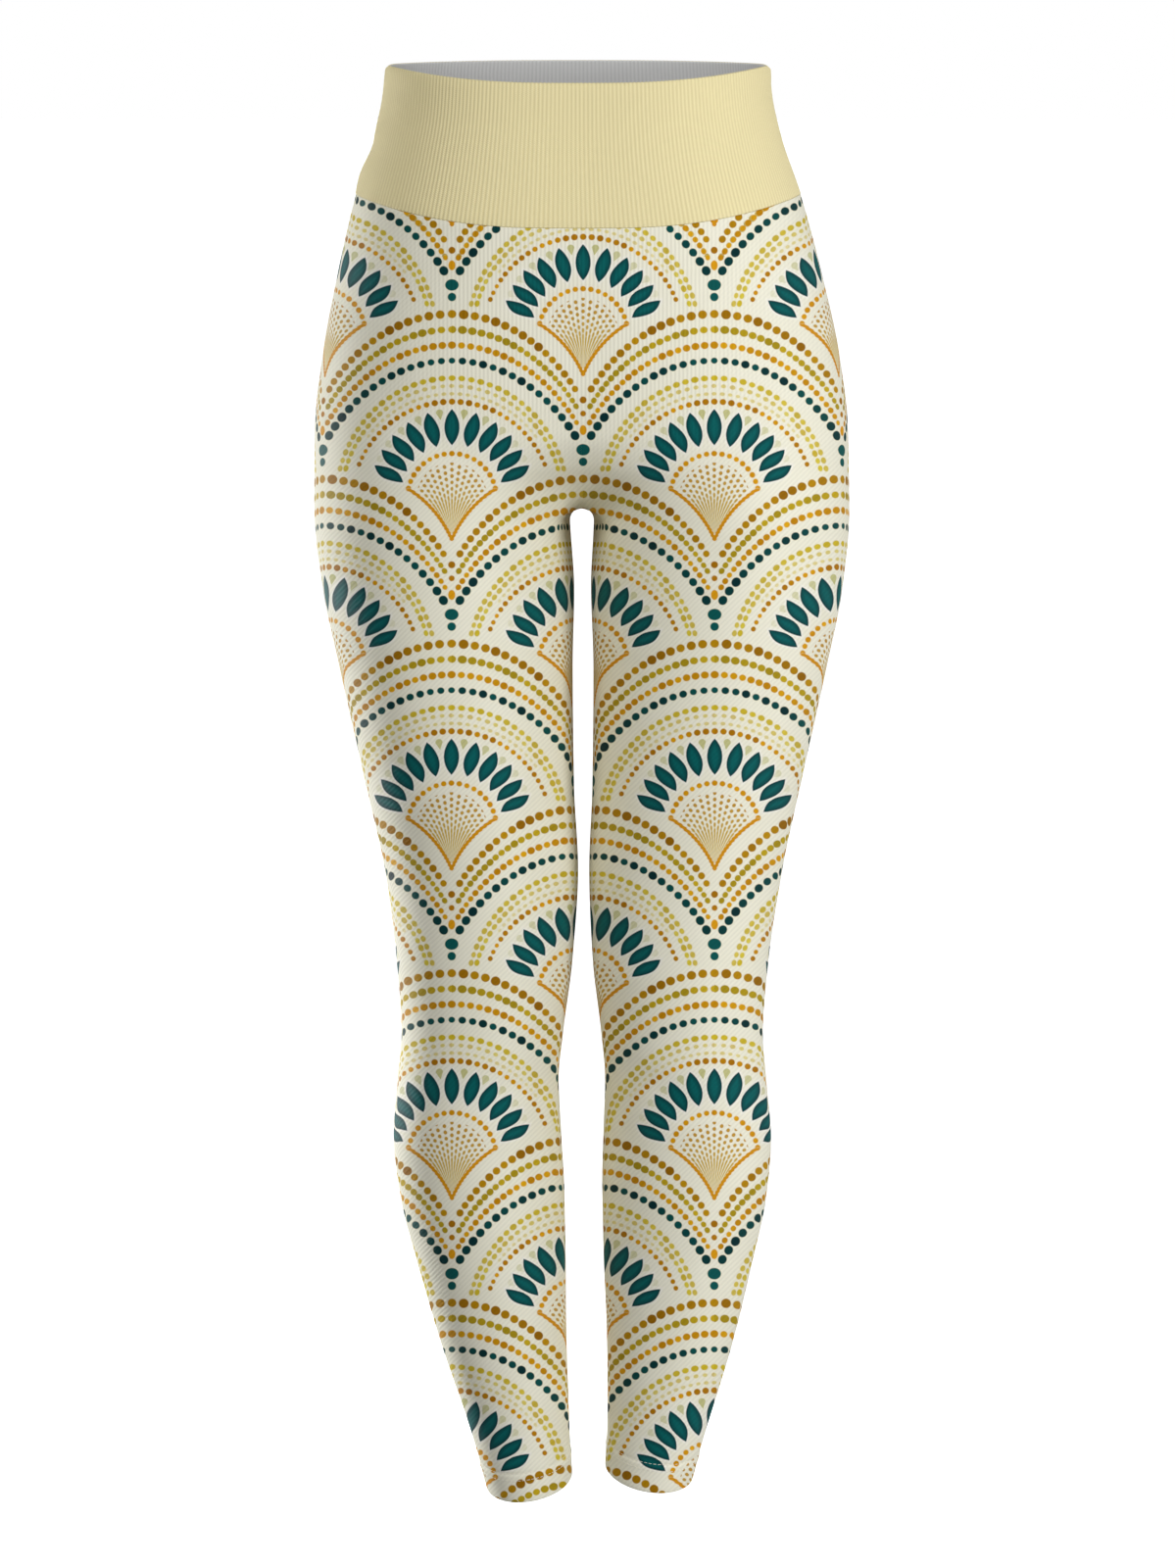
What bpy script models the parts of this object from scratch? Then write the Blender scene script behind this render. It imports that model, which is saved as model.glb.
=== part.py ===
"""High-waisted, full-length leggings in the hollow form they keep when worn.

Three sewn pieces: a rib-knit waistband and two legs of smooth stretch knit. Each leg is one
panel that runs from the centre-front seam round the outer side to the centre-back seam, and
closes on itself below the crotch. Lengths in the tables are in millimetres; the model is in
metres, +Z up, front towards -Y, with its origin in the middle of the waist opening.
"""
import math
from collections import namedtuple

import bmesh
import bpy
import numpy as np

MM = 0.001

# Driving lengths, measured down from the waist edge at the sides
BAND_HEIGHT = 84.0
CROTCH_DOWN = 291.5
HEM_DOWN = {"left": 943.5, "right": 950.0}
HEM_DEPTH = 20.0

# Cloth
LEG_WALL = 1.4
BAND_WALL = 1.8
HEM_TURN_WALL = 1.0
HEM_PINCH = 0.35
SEAM_GAP = 0.3
RIB_COUNT = 266
RIB_HEIGHT = 0.35

# Mesh density
HALF_COLUMNS = 16
ROWS_ABOVE_CROTCH = 10
BAND_ROWS = (0.0, 0.12, 0.4, 0.7, 1.0)
INNER_PER_RIB_COLUMNS = 4

# The crotch: how much the two thighs still melt together there and how far below it that ends,
# how far below it they stand apart by their full gap, and the rounding where the inseams meet
CROTCH_MELT = 0.15
MELT_ENDS = 150.0
GAP_FULL = 90.0
CROTCH_ROUND = 8.0
CROTCH_FLAT = 13.0
CROTCH_SPREAD = 120.0

# Half widths and depths of the worn form at each level: outer and gap are measured from the
# centre line to the leg's outer and inner edge, front and back are the places of the furthest
# front and back (front is -Y), and lean is the sideways shift of the centre line.
Section = namedtuple("Section", "down outer gap front back lean")
FORM = (
    Section(0, 125.6, 0.0, -89, 91, -3.4),
    Section(20, 127.4, 0.0, -91, 93, -3.4),
    Section(47, 133.6, 0.0, -96, 97, -3.4),
    Section(86, 146.4, 0.0, -103, 104, -2.8),
    Section(137, 159.4, 0.0, -107, 115, -1.8),
    Section(189, 170.2, 0.0, -108, 126, -1.0),
    Section(240, 176.2, 0.0, -106, 130, -0.8),
    Section(CROTCH_DOWN, 176.8, 8.0, -103, 117, -0.5),
    Section(344, 171.6, 5.5, -100, 100, 0.0),
    Section(396, 160.9, 6.8, -97, 88, 0.3),
    Section(474, 143.8, 6.0, -90, 75, 0.4),
    Section(530, 131.8, 3.6, -83, 67, 0.7),
    Section(590, 123.6, 6.6, -76, 59, 0.0),
    Section(640, 120.3, 12.6, -68, 57, -0.3),
    Section(672, 123.0, 15.4, -62, 62, -0.5),
    Section(712, 126.2, 14.0, -57, 70, -0.2),
    Section(752, 122.3, 12.6, -52, 71, 0.5),
    Section(791, 113.2, 12.6, -45, 67, 1.3),
    Section(850, 97.8, 13.5, -33, 62, 2.7),
    Section(912, 78.6, 12.8, -21, 58, 3.8),
    Section(950, 68.4, 11.2, -15, 57, 3.9),
)

# How the trunk parts into two thighs: spacing grows as the two thighs' centres move apart, and
# the fills say how full the centre line is against the thighs, in front and behind (1 is flush,
# 0 is parted).
Trunk = namedtuple("Trunk", "down spacing fill_front fill_back")
TRUNK = (
    Trunk(0, 0.10, 1.00, 1.000),
    Trunk(86, 0.16, 1.00, 0.998),
    Trunk(137, 0.30, 1.00, 0.985),
    Trunk(189, 0.58, 0.99, 0.940),
    Trunk(225, 0.84, 0.93, 0.860),
    Trunk(250, 0.99, 0.74, 0.690),
    Trunk(272, 1.09, 0.38, 0.370),
    Trunk(CROTCH_DOWN, 1 + CROTCH_MELT, 0.00, 0.000),
)

# How each level is tipped: dip lowers the centre front and rise lifts the centre back of the
# whole ring, lean_out lowers a leg's outer side and lean_front its front, as slopes.
Tip = namedtuple("Tip", "down dip rise lean_out lean_front")
TIPS = (
    Tip(0, 10.0, 1.5, 0.00, 0.00),
    Tip(84, 18.5, 6.0, 0.00, 0.00),
    Tip(200, 13.0, 7.0, 0.00, 0.00),
    Tip(340, 0.0, 0.0, 0.00, 0.00),
    Tip(640, 0.0, 0.0, 0.00, 0.00),
    Tip(850, 0.0, 0.0, 0.10, 0.12),
    Tip(950, 0.0, 0.0, 0.14, 0.20),
)

# Soft folds of the worn cloth, each a trough between two places. The place round a leg is 0 at
# the centre front (or the inseam), 1 at the outer side and 2 back at the centre back.
Fold = namedtuple("Fold", "leg around down to_around to_down depth width")
FOLDS = (
    Fold("left", 0.64, 206, 0.16, 278, 1.3, 15),
    Fold("right", 0.60, 198, 0.12, 274, 1.6, 16),
    Fold("left", 0.20, 322, 0.62, 306, 0.8, 12),
    Fold("right", 0.24, 330, 0.58, 318, 0.7, 12),
    Fold("left", 1.36, 330, 1.80, 314, 1.3, 13),
    Fold("right", 1.42, 334, 1.84, 312, 1.5, 13),
    Fold("left", 0.22, 652, 0.60, 690, 0.9, 10),
    Fold("right", 0.30, 668, 0.62, 684, 0.6, 10),
    Fold("left", 1.32, 604, 1.80, 612, 1.5, 11),
    Fold("left", 1.44, 634, 1.86, 629, 1.2, 10),
    Fold("right", 1.28, 598, 1.74, 609, 1.3, 11),
    Fold("right", 1.40, 626, 1.84, 622, 1.6, 11),
    Fold("right", 1.50, 652, 1.82, 657, 0.9, 10),
    Fold("left", 1.30, 893, 1.78, 906, 0.9, 9),
    Fold("right", 1.34, 901, 1.80, 892, 0.8, 9),
)

CREAM = "F1EEE2"
BUTTER = "E4D49E"


def monotone_cubic(xs, ys, x):
    """Smooth curve through the points that never overshoots them."""
    xs = np.asarray(xs, dtype=float)
    ys = np.asarray(ys, dtype=float)
    x = np.clip(x, xs[0], xs[-1])
    step = np.diff(xs)
    slope = np.diff(ys) / step
    tangent = np.zeros_like(ys)
    tangent[0] = slope[0]
    tangent[-1] = slope[-1]
    turning = slope[:-1] * slope[1:] <= 0.0
    weight_a = 2.0 * step[1:] + step[:-1]
    weight_b = step[1:] + 2.0 * step[:-1]
    safe_a = np.where(turning, 1.0, slope[:-1])
    safe_b = np.where(turning, 1.0, slope[1:])
    harmonic = (weight_a + weight_b) / (weight_a / safe_a + weight_b / safe_b)
    tangent[1:-1] = np.where(turning, 0.0, harmonic)
    k = np.clip(np.searchsorted(xs, x, side="right") - 1, 0, len(xs) - 2)
    t = (x - xs[k]) / step[k]
    rise = step[k] * (tangent[k] * t * (1 - t) ** 2 - tangent[k + 1] * t**2 * (1 - t))
    return ys[k] * (1 + 2 * t) * (1 - t) ** 2 + ys[k + 1] * t**2 * (3 - 2 * t) + rise


def column(table, name, down):
    """A table's named column at any level."""
    return monotone_cubic([row.down for row in table], [getattr(row, name) for row in table], down)


def thigh_pair(down, fill_name):
    """Radius, half spacing and melt of the two thigh ellipses that make up a section."""
    outer = column(FORM, "outer", down)
    below = np.maximum(down - CROTCH_DOWN, 0.0)
    opening = np.minimum(below / GAP_FULL, 1.0)
    gap = column(FORM, "gap", down) * opening**2 * (3.0 - 2.0 * opening)

    ratio = column(TRUNK, "spacing", down)
    fill = np.maximum(column(TRUNK, fill_name, down), 1e-9)
    depth = fill * (fill - 1 + ratio) / ratio
    melt_joined = 2 * ratio / fill * (1 - np.sqrt(np.maximum(1 - depth, 0.0)))
    fading = np.minimum(below / MELT_ENDS, 1.0)
    melt_parted = CROTCH_MELT * (1.0 - fading) ** 2 * (1.0 + 2.0 * fading)
    radius_sq_joined = outer**2 / (1 + ratio + np.sqrt(4 * ratio + melt_joined**2))

    middle_sq = (outer**2 + gap**2) / 2
    a = 1 - melt_parted**2 / 4
    b = melt_parted**2 * middle_sq / 2
    c = melt_parted**2 * middle_sq**2 / 4 + outer**2 * gap**2
    spread = (-b + np.sqrt(b**2 + 4 * a * c)) / (2 * a)

    parted = down > CROTCH_DOWN
    melt = np.where(parted, melt_parted, melt_joined)
    radius_sq = np.where(parted, (middle_sq - spread) / 2, radius_sq_joined)
    spacing_sq = np.where(parted, (middle_sq + spread) / 2, ratio * radius_sq_joined)
    joined_centre = outer / 2 * np.minimum(ratio / (1 + CROTCH_MELT), 1.0)
    centre = np.where(parted, (outer + gap) / 2, joined_centre)
    return gap, melt, radius_sq, spacing_sq, centre, outer - centre


def inner_edge(down, gap):
    """How far the inseam stands outside the thighs' own gap where the crotch rounds over."""
    opening = np.clip((down - CROTCH_DOWN) / CROTCH_ROUND, 0.0, 1.0)
    return column(FORM, "gap", down) * np.sqrt(1.0 - (1.0 - opening) ** 2) - gap


def body_surface(around, down):
    """Points on the left half of the worn form, in metres.

    around runs from 0 at the centre front, past 1 at the outer side, to 2 at the centre back.
    """
    around, down = np.broadcast_arrays(np.asarray(around, float), np.asarray(down, float))
    at_front = around <= 1.0
    along = np.where(at_front, around, 2.0 - around)
    halves = []
    for fill_name in ("fill_front", "fill_back"):
        gap, melt, radius_sq, spacing_sq, centre, reach = thigh_pair(down, fill_name)
        start = np.arccos(np.clip((centre - gap) / reach, -1.0, 1.0))
        x = centre - reach * np.cos(start + (math.pi - start) * along)
        inside = 1 - (x**2 + spacing_sq) / radius_sq
        inside = inside + np.sqrt(4 * x**2 * spacing_sq / radius_sq**2 + melt**2)
        highest = 1 + melt**2 * radius_sq / (4 * spacing_sq)
        flattened = inner_edge(down, gap) * np.exp(-(((x - gap) / CROTCH_FLAT) ** 2))
        halves.append((x + flattened, np.sqrt(np.clip(inside / highest, 0.0, 1.0))))
    x = np.where(at_front, halves[0][0], halves[1][0])
    bulge = np.where(at_front, halves[0][1], halves[1][1])

    front = column(FORM, "front", down)
    back = column(FORM, "back", down)
    middle = (front + back) / 2
    half_depth = (back - front) / 2
    offset = np.where(at_front, -bulge, bulge) * half_depth
    y = middle + offset

    dip = np.where(at_front, column(TIPS, "dip", down), -column(TIPS, "rise", down)) * bulge**2
    leg_middle = (column(FORM, "outer", down) + column(FORM, "gap", down)) / 2
    z = -down - dip
    z = z - column(TIPS, "lean_out", down) * (x - leg_middle)
    z = z + column(TIPS, "lean_front", down) * offset
    x = np.maximum(x, SEAM_GAP / 2)
    return np.stack([x, y, z], axis=-1) * MM


def fold_depth(leg, around, down):
    """Depth of the soft folds at a place on a leg, in metres."""
    quarter_girth = column(FORM, "outer", down) - column(FORM, "gap", down) / 2
    depth = np.zeros(np.shape(around))
    for fold in FOLDS:
        if fold.leg != leg:
            continue
        px = (around - fold.around) * quarter_girth
        py = down - fold.down
        dx = (fold.to_around - fold.around) * quarter_girth
        dy = fold.to_down - fold.down
        t = np.clip((px * dx + py * dy) / (dx**2 + dy**2), 0.0, 1.0)
        away = np.hypot(px - t * dx, py - t * dy) / fold.width
        fade = 0.35 + 0.65 * np.sin(math.pi * t)
        depth = depth + fold.depth * fade * np.exp(-(away**2))
    return depth * MM


def grid_normals(points, closed_from=None):
    """Outward unit normals of a grid of points whose rows run down and columns run round."""
    down_step = np.gradient(points, axis=0)
    round_step = np.gradient(points, axis=1)
    if closed_from is not None:
        wrap = points[closed_from:, 1] - points[closed_from:, -2]
        round_step[closed_from:, 0] = wrap
        round_step[closed_from:, -1] = wrap
    normals = np.cross(down_step, round_step)
    return normals / np.linalg.norm(normals, axis=-1, keepdims=True)


def leg_levels(leg):
    """Levels of a leg's rows at its outer side, from the waist seam to the hem."""
    seam = BAND_HEIGHT + SEAM_GAP / 2
    above = np.linspace(seam, CROTCH_DOWN, ROWS_ABOVE_CROTCH + 1)
    hem = HEM_DOWN[leg]
    near = CROTCH_DOWN + np.array([6.0, 14.0, 26.0, 42.0, 62.0, 86.0])
    shin = np.linspace(near[-1], hem - HEM_DEPTH - 3.0, 20)[1:]
    turned = hem - np.array([HEM_DEPTH, HEM_DEPTH - 3.0, HEM_DEPTH / 2, 0.0])
    return np.concatenate([above, near, shin, turned])


def row_level(side_level, along):
    """Level of a row at a place along it: rows crowd together towards the crotch."""
    away = side_level - CROTCH_DOWN
    body = CROTCH_DOWN - BAND_HEIGHT - SEAM_GAP / 2
    t = np.minimum(np.abs(away) / CROTCH_SPREAD, 1.0)
    centre_below = away * t * (2.0 - t)
    centre_above = -(away**2) / body
    centre = CROTCH_DOWN + np.where(away > 0.0, centre_below, centre_above)
    weight = (1.0 - along) ** 2
    return side_level * (1.0 - weight) + centre * weight


def hem_relief(level, hem):
    """The turned hem stands slightly proud below the pinch of its stitch line, in metres."""
    above_hem = hem - level
    pinch = -HEM_PINCH * np.exp(-(((above_hem - HEM_DEPTH) / 1.5) ** 2))
    proud = np.where(above_hem < HEM_DEPTH - 2.0, HEM_PINCH, 0.0)
    return (pinch + proud) * MM


def leg_wall(level, hem):
    """Thickness of a leg's wall, with the turned-up layer inside the hem, in metres."""
    turned = np.where(hem - level <= HEM_DEPTH, HEM_TURN_WALL, 0.0)
    return (LEG_WALL + turned) * MM


def leaned(points):
    """Points shifted with the sideways lean of the centre line."""
    shifted = points.copy()
    shifted[..., 0] += column(FORM, "lean", -points[..., 2] / MM) * MM
    return shifted


def cloth_material(name, hex_colour, roughness):
    """A dull woven or knitted finish of one colour."""
    material = bpy.data.materials.new(name)
    material.use_nodes = True
    shader = material.node_tree.nodes["Principled BSDF"]
    srgb = [int(hex_colour[i:i + 2], 16) / 255 for i in (0, 2, 4)]
    linear = [c / 12.92 if c <= 0.04045 else ((c + 0.055) / 1.055) ** 2.4 for c in srgb]
    shader.inputs["Base Color"].default_value = (*linear, 1.0)
    shader.inputs["Roughness"].default_value = roughness
    shader.inputs["Metallic"].default_value = 0.0
    return material


def add_piece(name, points, faces, material):
    """One closed, smooth-shaded object from its points and faces."""
    mesh = bpy.data.meshes.new(name)
    mesh.from_pydata([tuple(p) for p in points], [], faces)
    bm = bmesh.new()
    bm.from_mesh(mesh)
    bmesh.ops.recalc_face_normals(bm, faces=bm.faces)
    bm.to_mesh(mesh)
    bm.free()
    mesh.shade_smooth()
    mesh.set_sharp_from_angle(angle=math.radians(40))
    mesh.materials.append(material)
    piece = bpy.data.objects.new(name, mesh)
    bpy.context.scene.collection.objects.link(piece)
    return piece


def make_leg(leg, material):
    """One leg: a wall from the waist seam to the hem, open at both ends."""
    hem = HEM_DOWN[leg]
    levels = leg_levels(leg)
    around = np.linspace(0.0, 2.0, 2 * HALF_COLUMNS + 1)
    along = np.minimum(around, 2.0 - around)
    level = row_level(levels[:, None], along[None, :])
    place = np.broadcast_to(around[None, :], level.shape)
    crotch_row = ROWS_ABOVE_CROTCH

    smooth = body_surface(place, level)
    normals = grid_normals(smooth, crotch_row)
    relief = hem_relief(level, hem) - fold_depth(leg, place, level)
    normals[:crotch_row + 1, (0, -1), 0] = 0.0
    normals[crotch_row, (0, -1)] = (0.0, 0.0, -1.0)
    normals /= np.linalg.norm(normals, axis=-1, keepdims=True)
    outer = smooth + normals * relief[..., None]
    inner = outer - normals * leg_wall(level, hem)[..., None]

    rows, columns = level.shape
    layers = leaned(np.stack([outer, inner]) * ((1.0 if leg == "left" else -1.0), 1.0, 1.0))
    points = layers.reshape(-1, 3)

    def corner(layer, row, col):
        if row >= crotch_row and col == columns - 1:
            col = 0
        return (layer * rows + row) * columns + col

    faces = []
    for row in range(rows - 1):
        for col in range(columns - 1):
            for layer in (0, 1):
                ring = [corner(layer, row, col), corner(layer, row + 1, col),
                        corner(layer, row + 1, col + 1), corner(layer, row, col + 1)]
                faces.append(ring if layer == 0 else ring[::-1])
    for col in range(columns - 1):
        for row in (0, rows - 1):
            faces.append([corner(0, row, col), corner(0, row, col + 1),
                          corner(1, row, col + 1), corner(1, row, col)])
    for row in range(crotch_row):
        for col in (0, columns - 1):
            faces.append([corner(0, row, col), corner(0, row + 1, col),
                          corner(1, row + 1, col), corner(1, row, col)])
    used = sorted({index for face in faces for index in face})
    renumber = {old: new for new, old in enumerate(used)}
    faces = [[renumber[index] for index in face] for face in faces]
    return add_piece("leg_" + leg, points[used], faces, material)


def ring_points(level, count):
    """Evenly spaced points round the whole waist at one level, from the centre front."""
    fine = np.linspace(0.0, 2.0, 801)
    half = body_surface(fine, np.full(fine.shape, level))
    half[0, 0] = 0.0
    half[-1, 0] = 0.0
    other = half[::-1] * (-1.0, 1.0, 1.0)
    loop = np.concatenate([half, other[1:]])
    length = np.concatenate([[0.0], np.cumsum(np.linalg.norm(np.diff(loop, axis=0), axis=1))])
    wanted = np.arange(count) / count * length[-1]
    return np.stack([np.interp(wanted, length, loop[:, axis]) for axis in range(3)], axis=1)


def make_waistband(material):
    """The waistband: a tube with ribs raised on its outer side over a plain inside."""
    bottom = BAND_HEIGHT - SEAM_GAP / 2
    columns = 2 * RIB_COUNT
    inner_columns = columns // INNER_PER_RIB_COLUMNS
    smooth = np.stack([ring_points(share * bottom, columns) for share in BAND_ROWS])
    down_step = np.gradient(smooth, axis=0)
    round_step = np.roll(smooth, -1, axis=1) - np.roll(smooth, 1, axis=1)
    normals = np.cross(down_step, round_step)
    normals /= np.linalg.norm(normals, axis=-1, keepdims=True)
    rib = np.where(np.arange(columns) % 2 == 0, RIB_HEIGHT, 0.0) * MM
    outer = smooth + normals * rib[None, :, None]
    inner = (smooth - normals * BAND_WALL * MM)[:, ::INNER_PER_RIB_COLUMNS]

    rows = len(BAND_ROWS)
    points = leaned(np.concatenate([outer.reshape(-1, 3), inner.reshape(-1, 3)]))

    def outside(row, col):
        return row * columns + col % columns

    def inside(row, col):
        return rows * columns + row * inner_columns + col % inner_columns

    faces = []
    for row in range(rows - 1):
        for col in range(columns):
            faces.append([outside(row, col), outside(row + 1, col),
                          outside(row + 1, col + 1), outside(row, col + 1)])
        for col in range(inner_columns):
            faces.append([inside(row, col), inside(row, col + 1),
                          inside(row + 1, col + 1), inside(row + 1, col)])
    half_step = INNER_PER_RIB_COLUMNS // 2
    for row in (0, rows - 1):
        for col in range(inner_columns):
            start = col * INNER_PER_RIB_COLUMNS
            middle = start + half_step
            for step in range(half_step):
                faces.append([inside(row, col), outside(row, start + step),
                              outside(row, start + step + 1)])
                faces.append([inside(row, col + 1), outside(row, middle + step),
                              outside(row, middle + step + 1)])
            faces.append([inside(row, col), outside(row, middle), inside(row, col + 1)])
    return add_piece("waistband", points, faces, material)


def main():
    for old in list(bpy.data.objects):
        bpy.data.objects.remove(old, do_unlink=True)
    rib_knit = cloth_material("rib_knit_butter", BUTTER, 0.9)
    make_waistband(rib_knit)
    for leg in ("left", "right"):
        make_leg(leg, cloth_material("stretch_knit_" + leg, CREAM, 0.75))


main()
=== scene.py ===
"""High-waisted printed leggings with a rib-knit waistband, in the hollow form they keep when worn."""
import math
from collections import namedtuple
from functools import partial

import bmesh
import bpy
import numpy as np
from bpy.props import FloatProperty, IntProperty, PointerProperty, StringProperty
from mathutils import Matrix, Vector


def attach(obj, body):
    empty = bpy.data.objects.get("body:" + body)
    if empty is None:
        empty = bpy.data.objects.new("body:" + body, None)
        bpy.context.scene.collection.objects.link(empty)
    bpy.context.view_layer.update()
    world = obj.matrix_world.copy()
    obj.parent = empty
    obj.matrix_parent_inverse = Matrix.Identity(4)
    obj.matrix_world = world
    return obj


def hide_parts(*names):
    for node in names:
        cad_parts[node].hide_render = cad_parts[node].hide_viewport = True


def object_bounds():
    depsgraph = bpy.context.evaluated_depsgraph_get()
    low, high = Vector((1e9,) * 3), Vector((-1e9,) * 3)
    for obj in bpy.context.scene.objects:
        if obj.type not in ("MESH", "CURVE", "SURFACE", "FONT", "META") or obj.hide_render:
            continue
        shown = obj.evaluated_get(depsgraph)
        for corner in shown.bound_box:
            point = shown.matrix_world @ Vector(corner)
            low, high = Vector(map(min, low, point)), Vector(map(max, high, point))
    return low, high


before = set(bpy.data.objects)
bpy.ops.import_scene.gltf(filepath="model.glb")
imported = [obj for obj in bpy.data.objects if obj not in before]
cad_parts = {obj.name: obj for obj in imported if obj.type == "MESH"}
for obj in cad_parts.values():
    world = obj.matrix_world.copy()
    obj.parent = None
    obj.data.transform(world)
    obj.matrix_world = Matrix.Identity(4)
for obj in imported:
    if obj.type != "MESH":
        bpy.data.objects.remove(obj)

bl_info = {
    "name": "Printed leggings",
    "version": (1, 0, 0),
    "blender": (4, 5, 0),
    "location": "3D View > Sidebar > Leggings",
    "description": "Leggings with a rib-knit waistband and a printed scallop repeat",
    "category": "Object",
}

MM = 0.001
CAD_BOX = [list(corner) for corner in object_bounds()]


def table(fields, *rows):
    """Rows of values whose columns have names."""
    named = namedtuple("Row", fields)
    return [named(*row) for row in rows]


# Worn form, in millimetres: the same tables as the fixed frame's solids
BAND_HEIGHT = 84.0
CROTCH_DOWN = 291.5
LEGS = ("left", "right")
HEM_DOWN = {"left": 943.5, "right": 950.0}
HEM_DEPTH = 20.0
HEM_PINCH = 0.35
PINCH_WIDTH = 1.1
PROUD_WIDTH = 1.6
SEAM_GAP = 0.1

CROTCH_MELT = 0.15
MELT_ENDS = 150.0
GAP_FULL = 90.0
CROTCH_ROUND = 8.0
CROTCH_FLAT = 13.0
CROTCH_SPREAD = 120.0

FORM = table(
    "down outer gap front back lean",
    (0, 125.6, 0.0, -89, 91, -3.4),
    (20, 127.4, 0.0, -91, 93, -3.4),
    (47, 133.6, 0.0, -96, 97, -3.4),
    (86, 146.4, 0.0, -103, 104, -2.8),
    (137, 159.4, 0.0, -107, 115, -1.8),
    (189, 170.2, 0.0, -108, 126, -1.0),
    (240, 176.2, 0.0, -106, 130, -0.8),
    (CROTCH_DOWN, 176.8, 8.0, -103, 117, -0.5),
    (344, 171.6, 5.5, -100, 100, 0.0),
    (396, 160.9, 6.8, -97, 88, 0.3),
    (474, 143.8, 6.0, -90, 75, 0.4),
    (530, 131.8, 3.6, -83, 67, 0.7),
    (590, 123.6, 6.6, -76, 59, 0.0),
    (640, 120.3, 12.6, -68, 57, -0.3),
    (672, 123.0, 15.4, -62, 62, -0.5),
    (712, 126.2, 14.0, -57, 70, -0.2),
    (752, 122.3, 12.6, -52, 71, 0.5),
    (791, 113.2, 12.6, -45, 67, 1.3),
    (850, 97.8, 13.5, -33, 62, 2.7),
    (912, 78.6, 12.8, -21, 58, 3.8),
    (950, 68.4, 11.2, -15, 57, 3.9),
)
TRUNK = table(
    "down spacing fill_front fill_back",
    (0, 0.10, 1.00, 1.000),
    (86, 0.16, 1.00, 0.998),
    (137, 0.30, 1.00, 0.985),
    (189, 0.58, 0.99, 0.940),
    (225, 0.84, 0.93, 0.860),
    (250, 0.99, 0.74, 0.690),
    (272, 1.09, 0.38, 0.370),
    (CROTCH_DOWN, 1 + CROTCH_MELT, 0.00, 0.000),
)
TIPS = table(
    "down dip rise lean_out lean_front",
    (0, 10.0, 1.5, 0.00, 0.00),
    (84, 18.5, 6.0, 0.00, 0.00),
    (200, 13.0, 7.0, 0.00, 0.00),
    (340, 0.0, 0.0, 0.00, 0.00),
    (640, 0.0, 0.0, 0.00, 0.00),
    (850, 0.0, 0.0, 0.10, 0.12),
    (950, 0.0, 0.0, 0.14, 0.20),
)
FOLDS = table(
    "leg around down to_around to_down depth width",
    ("left", 0.64, 206, 0.16, 278, 1.3, 15),
    ("right", 0.60, 198, 0.12, 274, 1.6, 16),
    ("left", 0.20, 322, 0.62, 306, 0.8, 12),
    ("right", 0.24, 330, 0.58, 318, 0.7, 12),
    ("left", 1.36, 330, 1.80, 314, 1.3, 13),
    ("right", 1.42, 334, 1.84, 312, 1.5, 13),
    ("left", 0.22, 652, 0.60, 690, 0.9, 10),
    ("right", 0.30, 668, 0.62, 684, 0.6, 10),
    ("left", 1.32, 604, 1.80, 612, 1.5, 11),
    ("left", 1.44, 634, 1.86, 629, 1.2, 10),
    ("right", 1.28, 598, 1.74, 609, 1.3, 11),
    ("right", 1.40, 626, 1.84, 622, 1.6, 11),
    ("right", 1.50, 652, 1.82, 657, 0.9, 10),
    ("left", 1.30, 893, 1.78, 906, 0.9, 9),
    ("right", 1.34, 901, 1.80, 892, 0.8, 9),
)

# Where the band stands out or in: at its rim, and where the figure's side pushes on it. side is
# 1 for the left hip and -1 for the right; height, wide (in around) and tall shape the swell
SWELLS = table(
    "side around down height wide tall",
    (1, 1.0, 3, 0.9, 0.12, 5),
    (-1, 1.0, 72, 1.3, 0.16, 9),
    (-1, 1.0, 52, -1.1, 0.16, 7),
    (-1, 0.5, 30, -0.5, 0.22, 16),
    (1, 1.45, 52, -0.9, 0.30, 9),
    (-1, 1.52, 44, -1.0, 0.26, 8),
)
CORNER_DROP = 2.6
CORNER_WIDE = 0.085
CORNER_TALL = 9.0

# A fold keeps this share of its depth at its ends
FOLD_END = 0.35

# Steps round the form and down it that its slope is taken over
NUDGE_ROUND = 1e-3
NUDGE_DOWN = 0.2

# Width of the seam allowances pressed inside, and how far they lie from the leg's inner face and
# from their seam. A seam keeps this far away, around, from the next one, and is worked out at
# this many places
SEAM_ALLOWANCE = 6.0
ALLOWANCE_GAP = 0.12
SEAM_START = 0.2
SEAM_MARGIN = 0.004
PROBE_STEP = 0.02
WAIST_START = 0.8
WAIST_PLACES = 97
TRUNK_PLACES = 60
INSEAM_PLACES = 170

# Four columns across an allowance, and the corners of its section: a column, and how far up the
# doubled edge
ALLOWANCE_SHARES = np.linspace(0.0, 1.0, 4)
ALLOWANCE_SECTION = ((0, 0.0), (1, 0.0), (2, 0.0), (3, 0.18), (3, 0.82), (2, 1.0), (1, 1.0),
                     (0, 1.0))

# Thickness of the sewing thread, its loops' lengths and slants, and which of an allowance's four
# columns they are sewn along
THREAD = 0.45
LOOPER_LENGTH = 4.9
LOOPER_SLANT = math.radians(70)
OVERLOCK_LENGTH = 4.6
OVERLOCK_SLANT = math.radians(62)
CHAIN_COLUMN = 0
OVERLOCK_COLUMN = 2

# Mesh density of the dressed pieces
LEG_COLUMNS = 112
ROWS_ABOVE = 66
ROWS_BELOW = 168
BAND_LEVELS = 16
RING_SAMPLES = 800
COLUMNS_PER_RIB = 6

# Radius of the band's lower edge, and how high ribs stand inside as a share of outside
BAND_LIP = 0.5
REVERSE_RIBBING = 0.45

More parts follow.
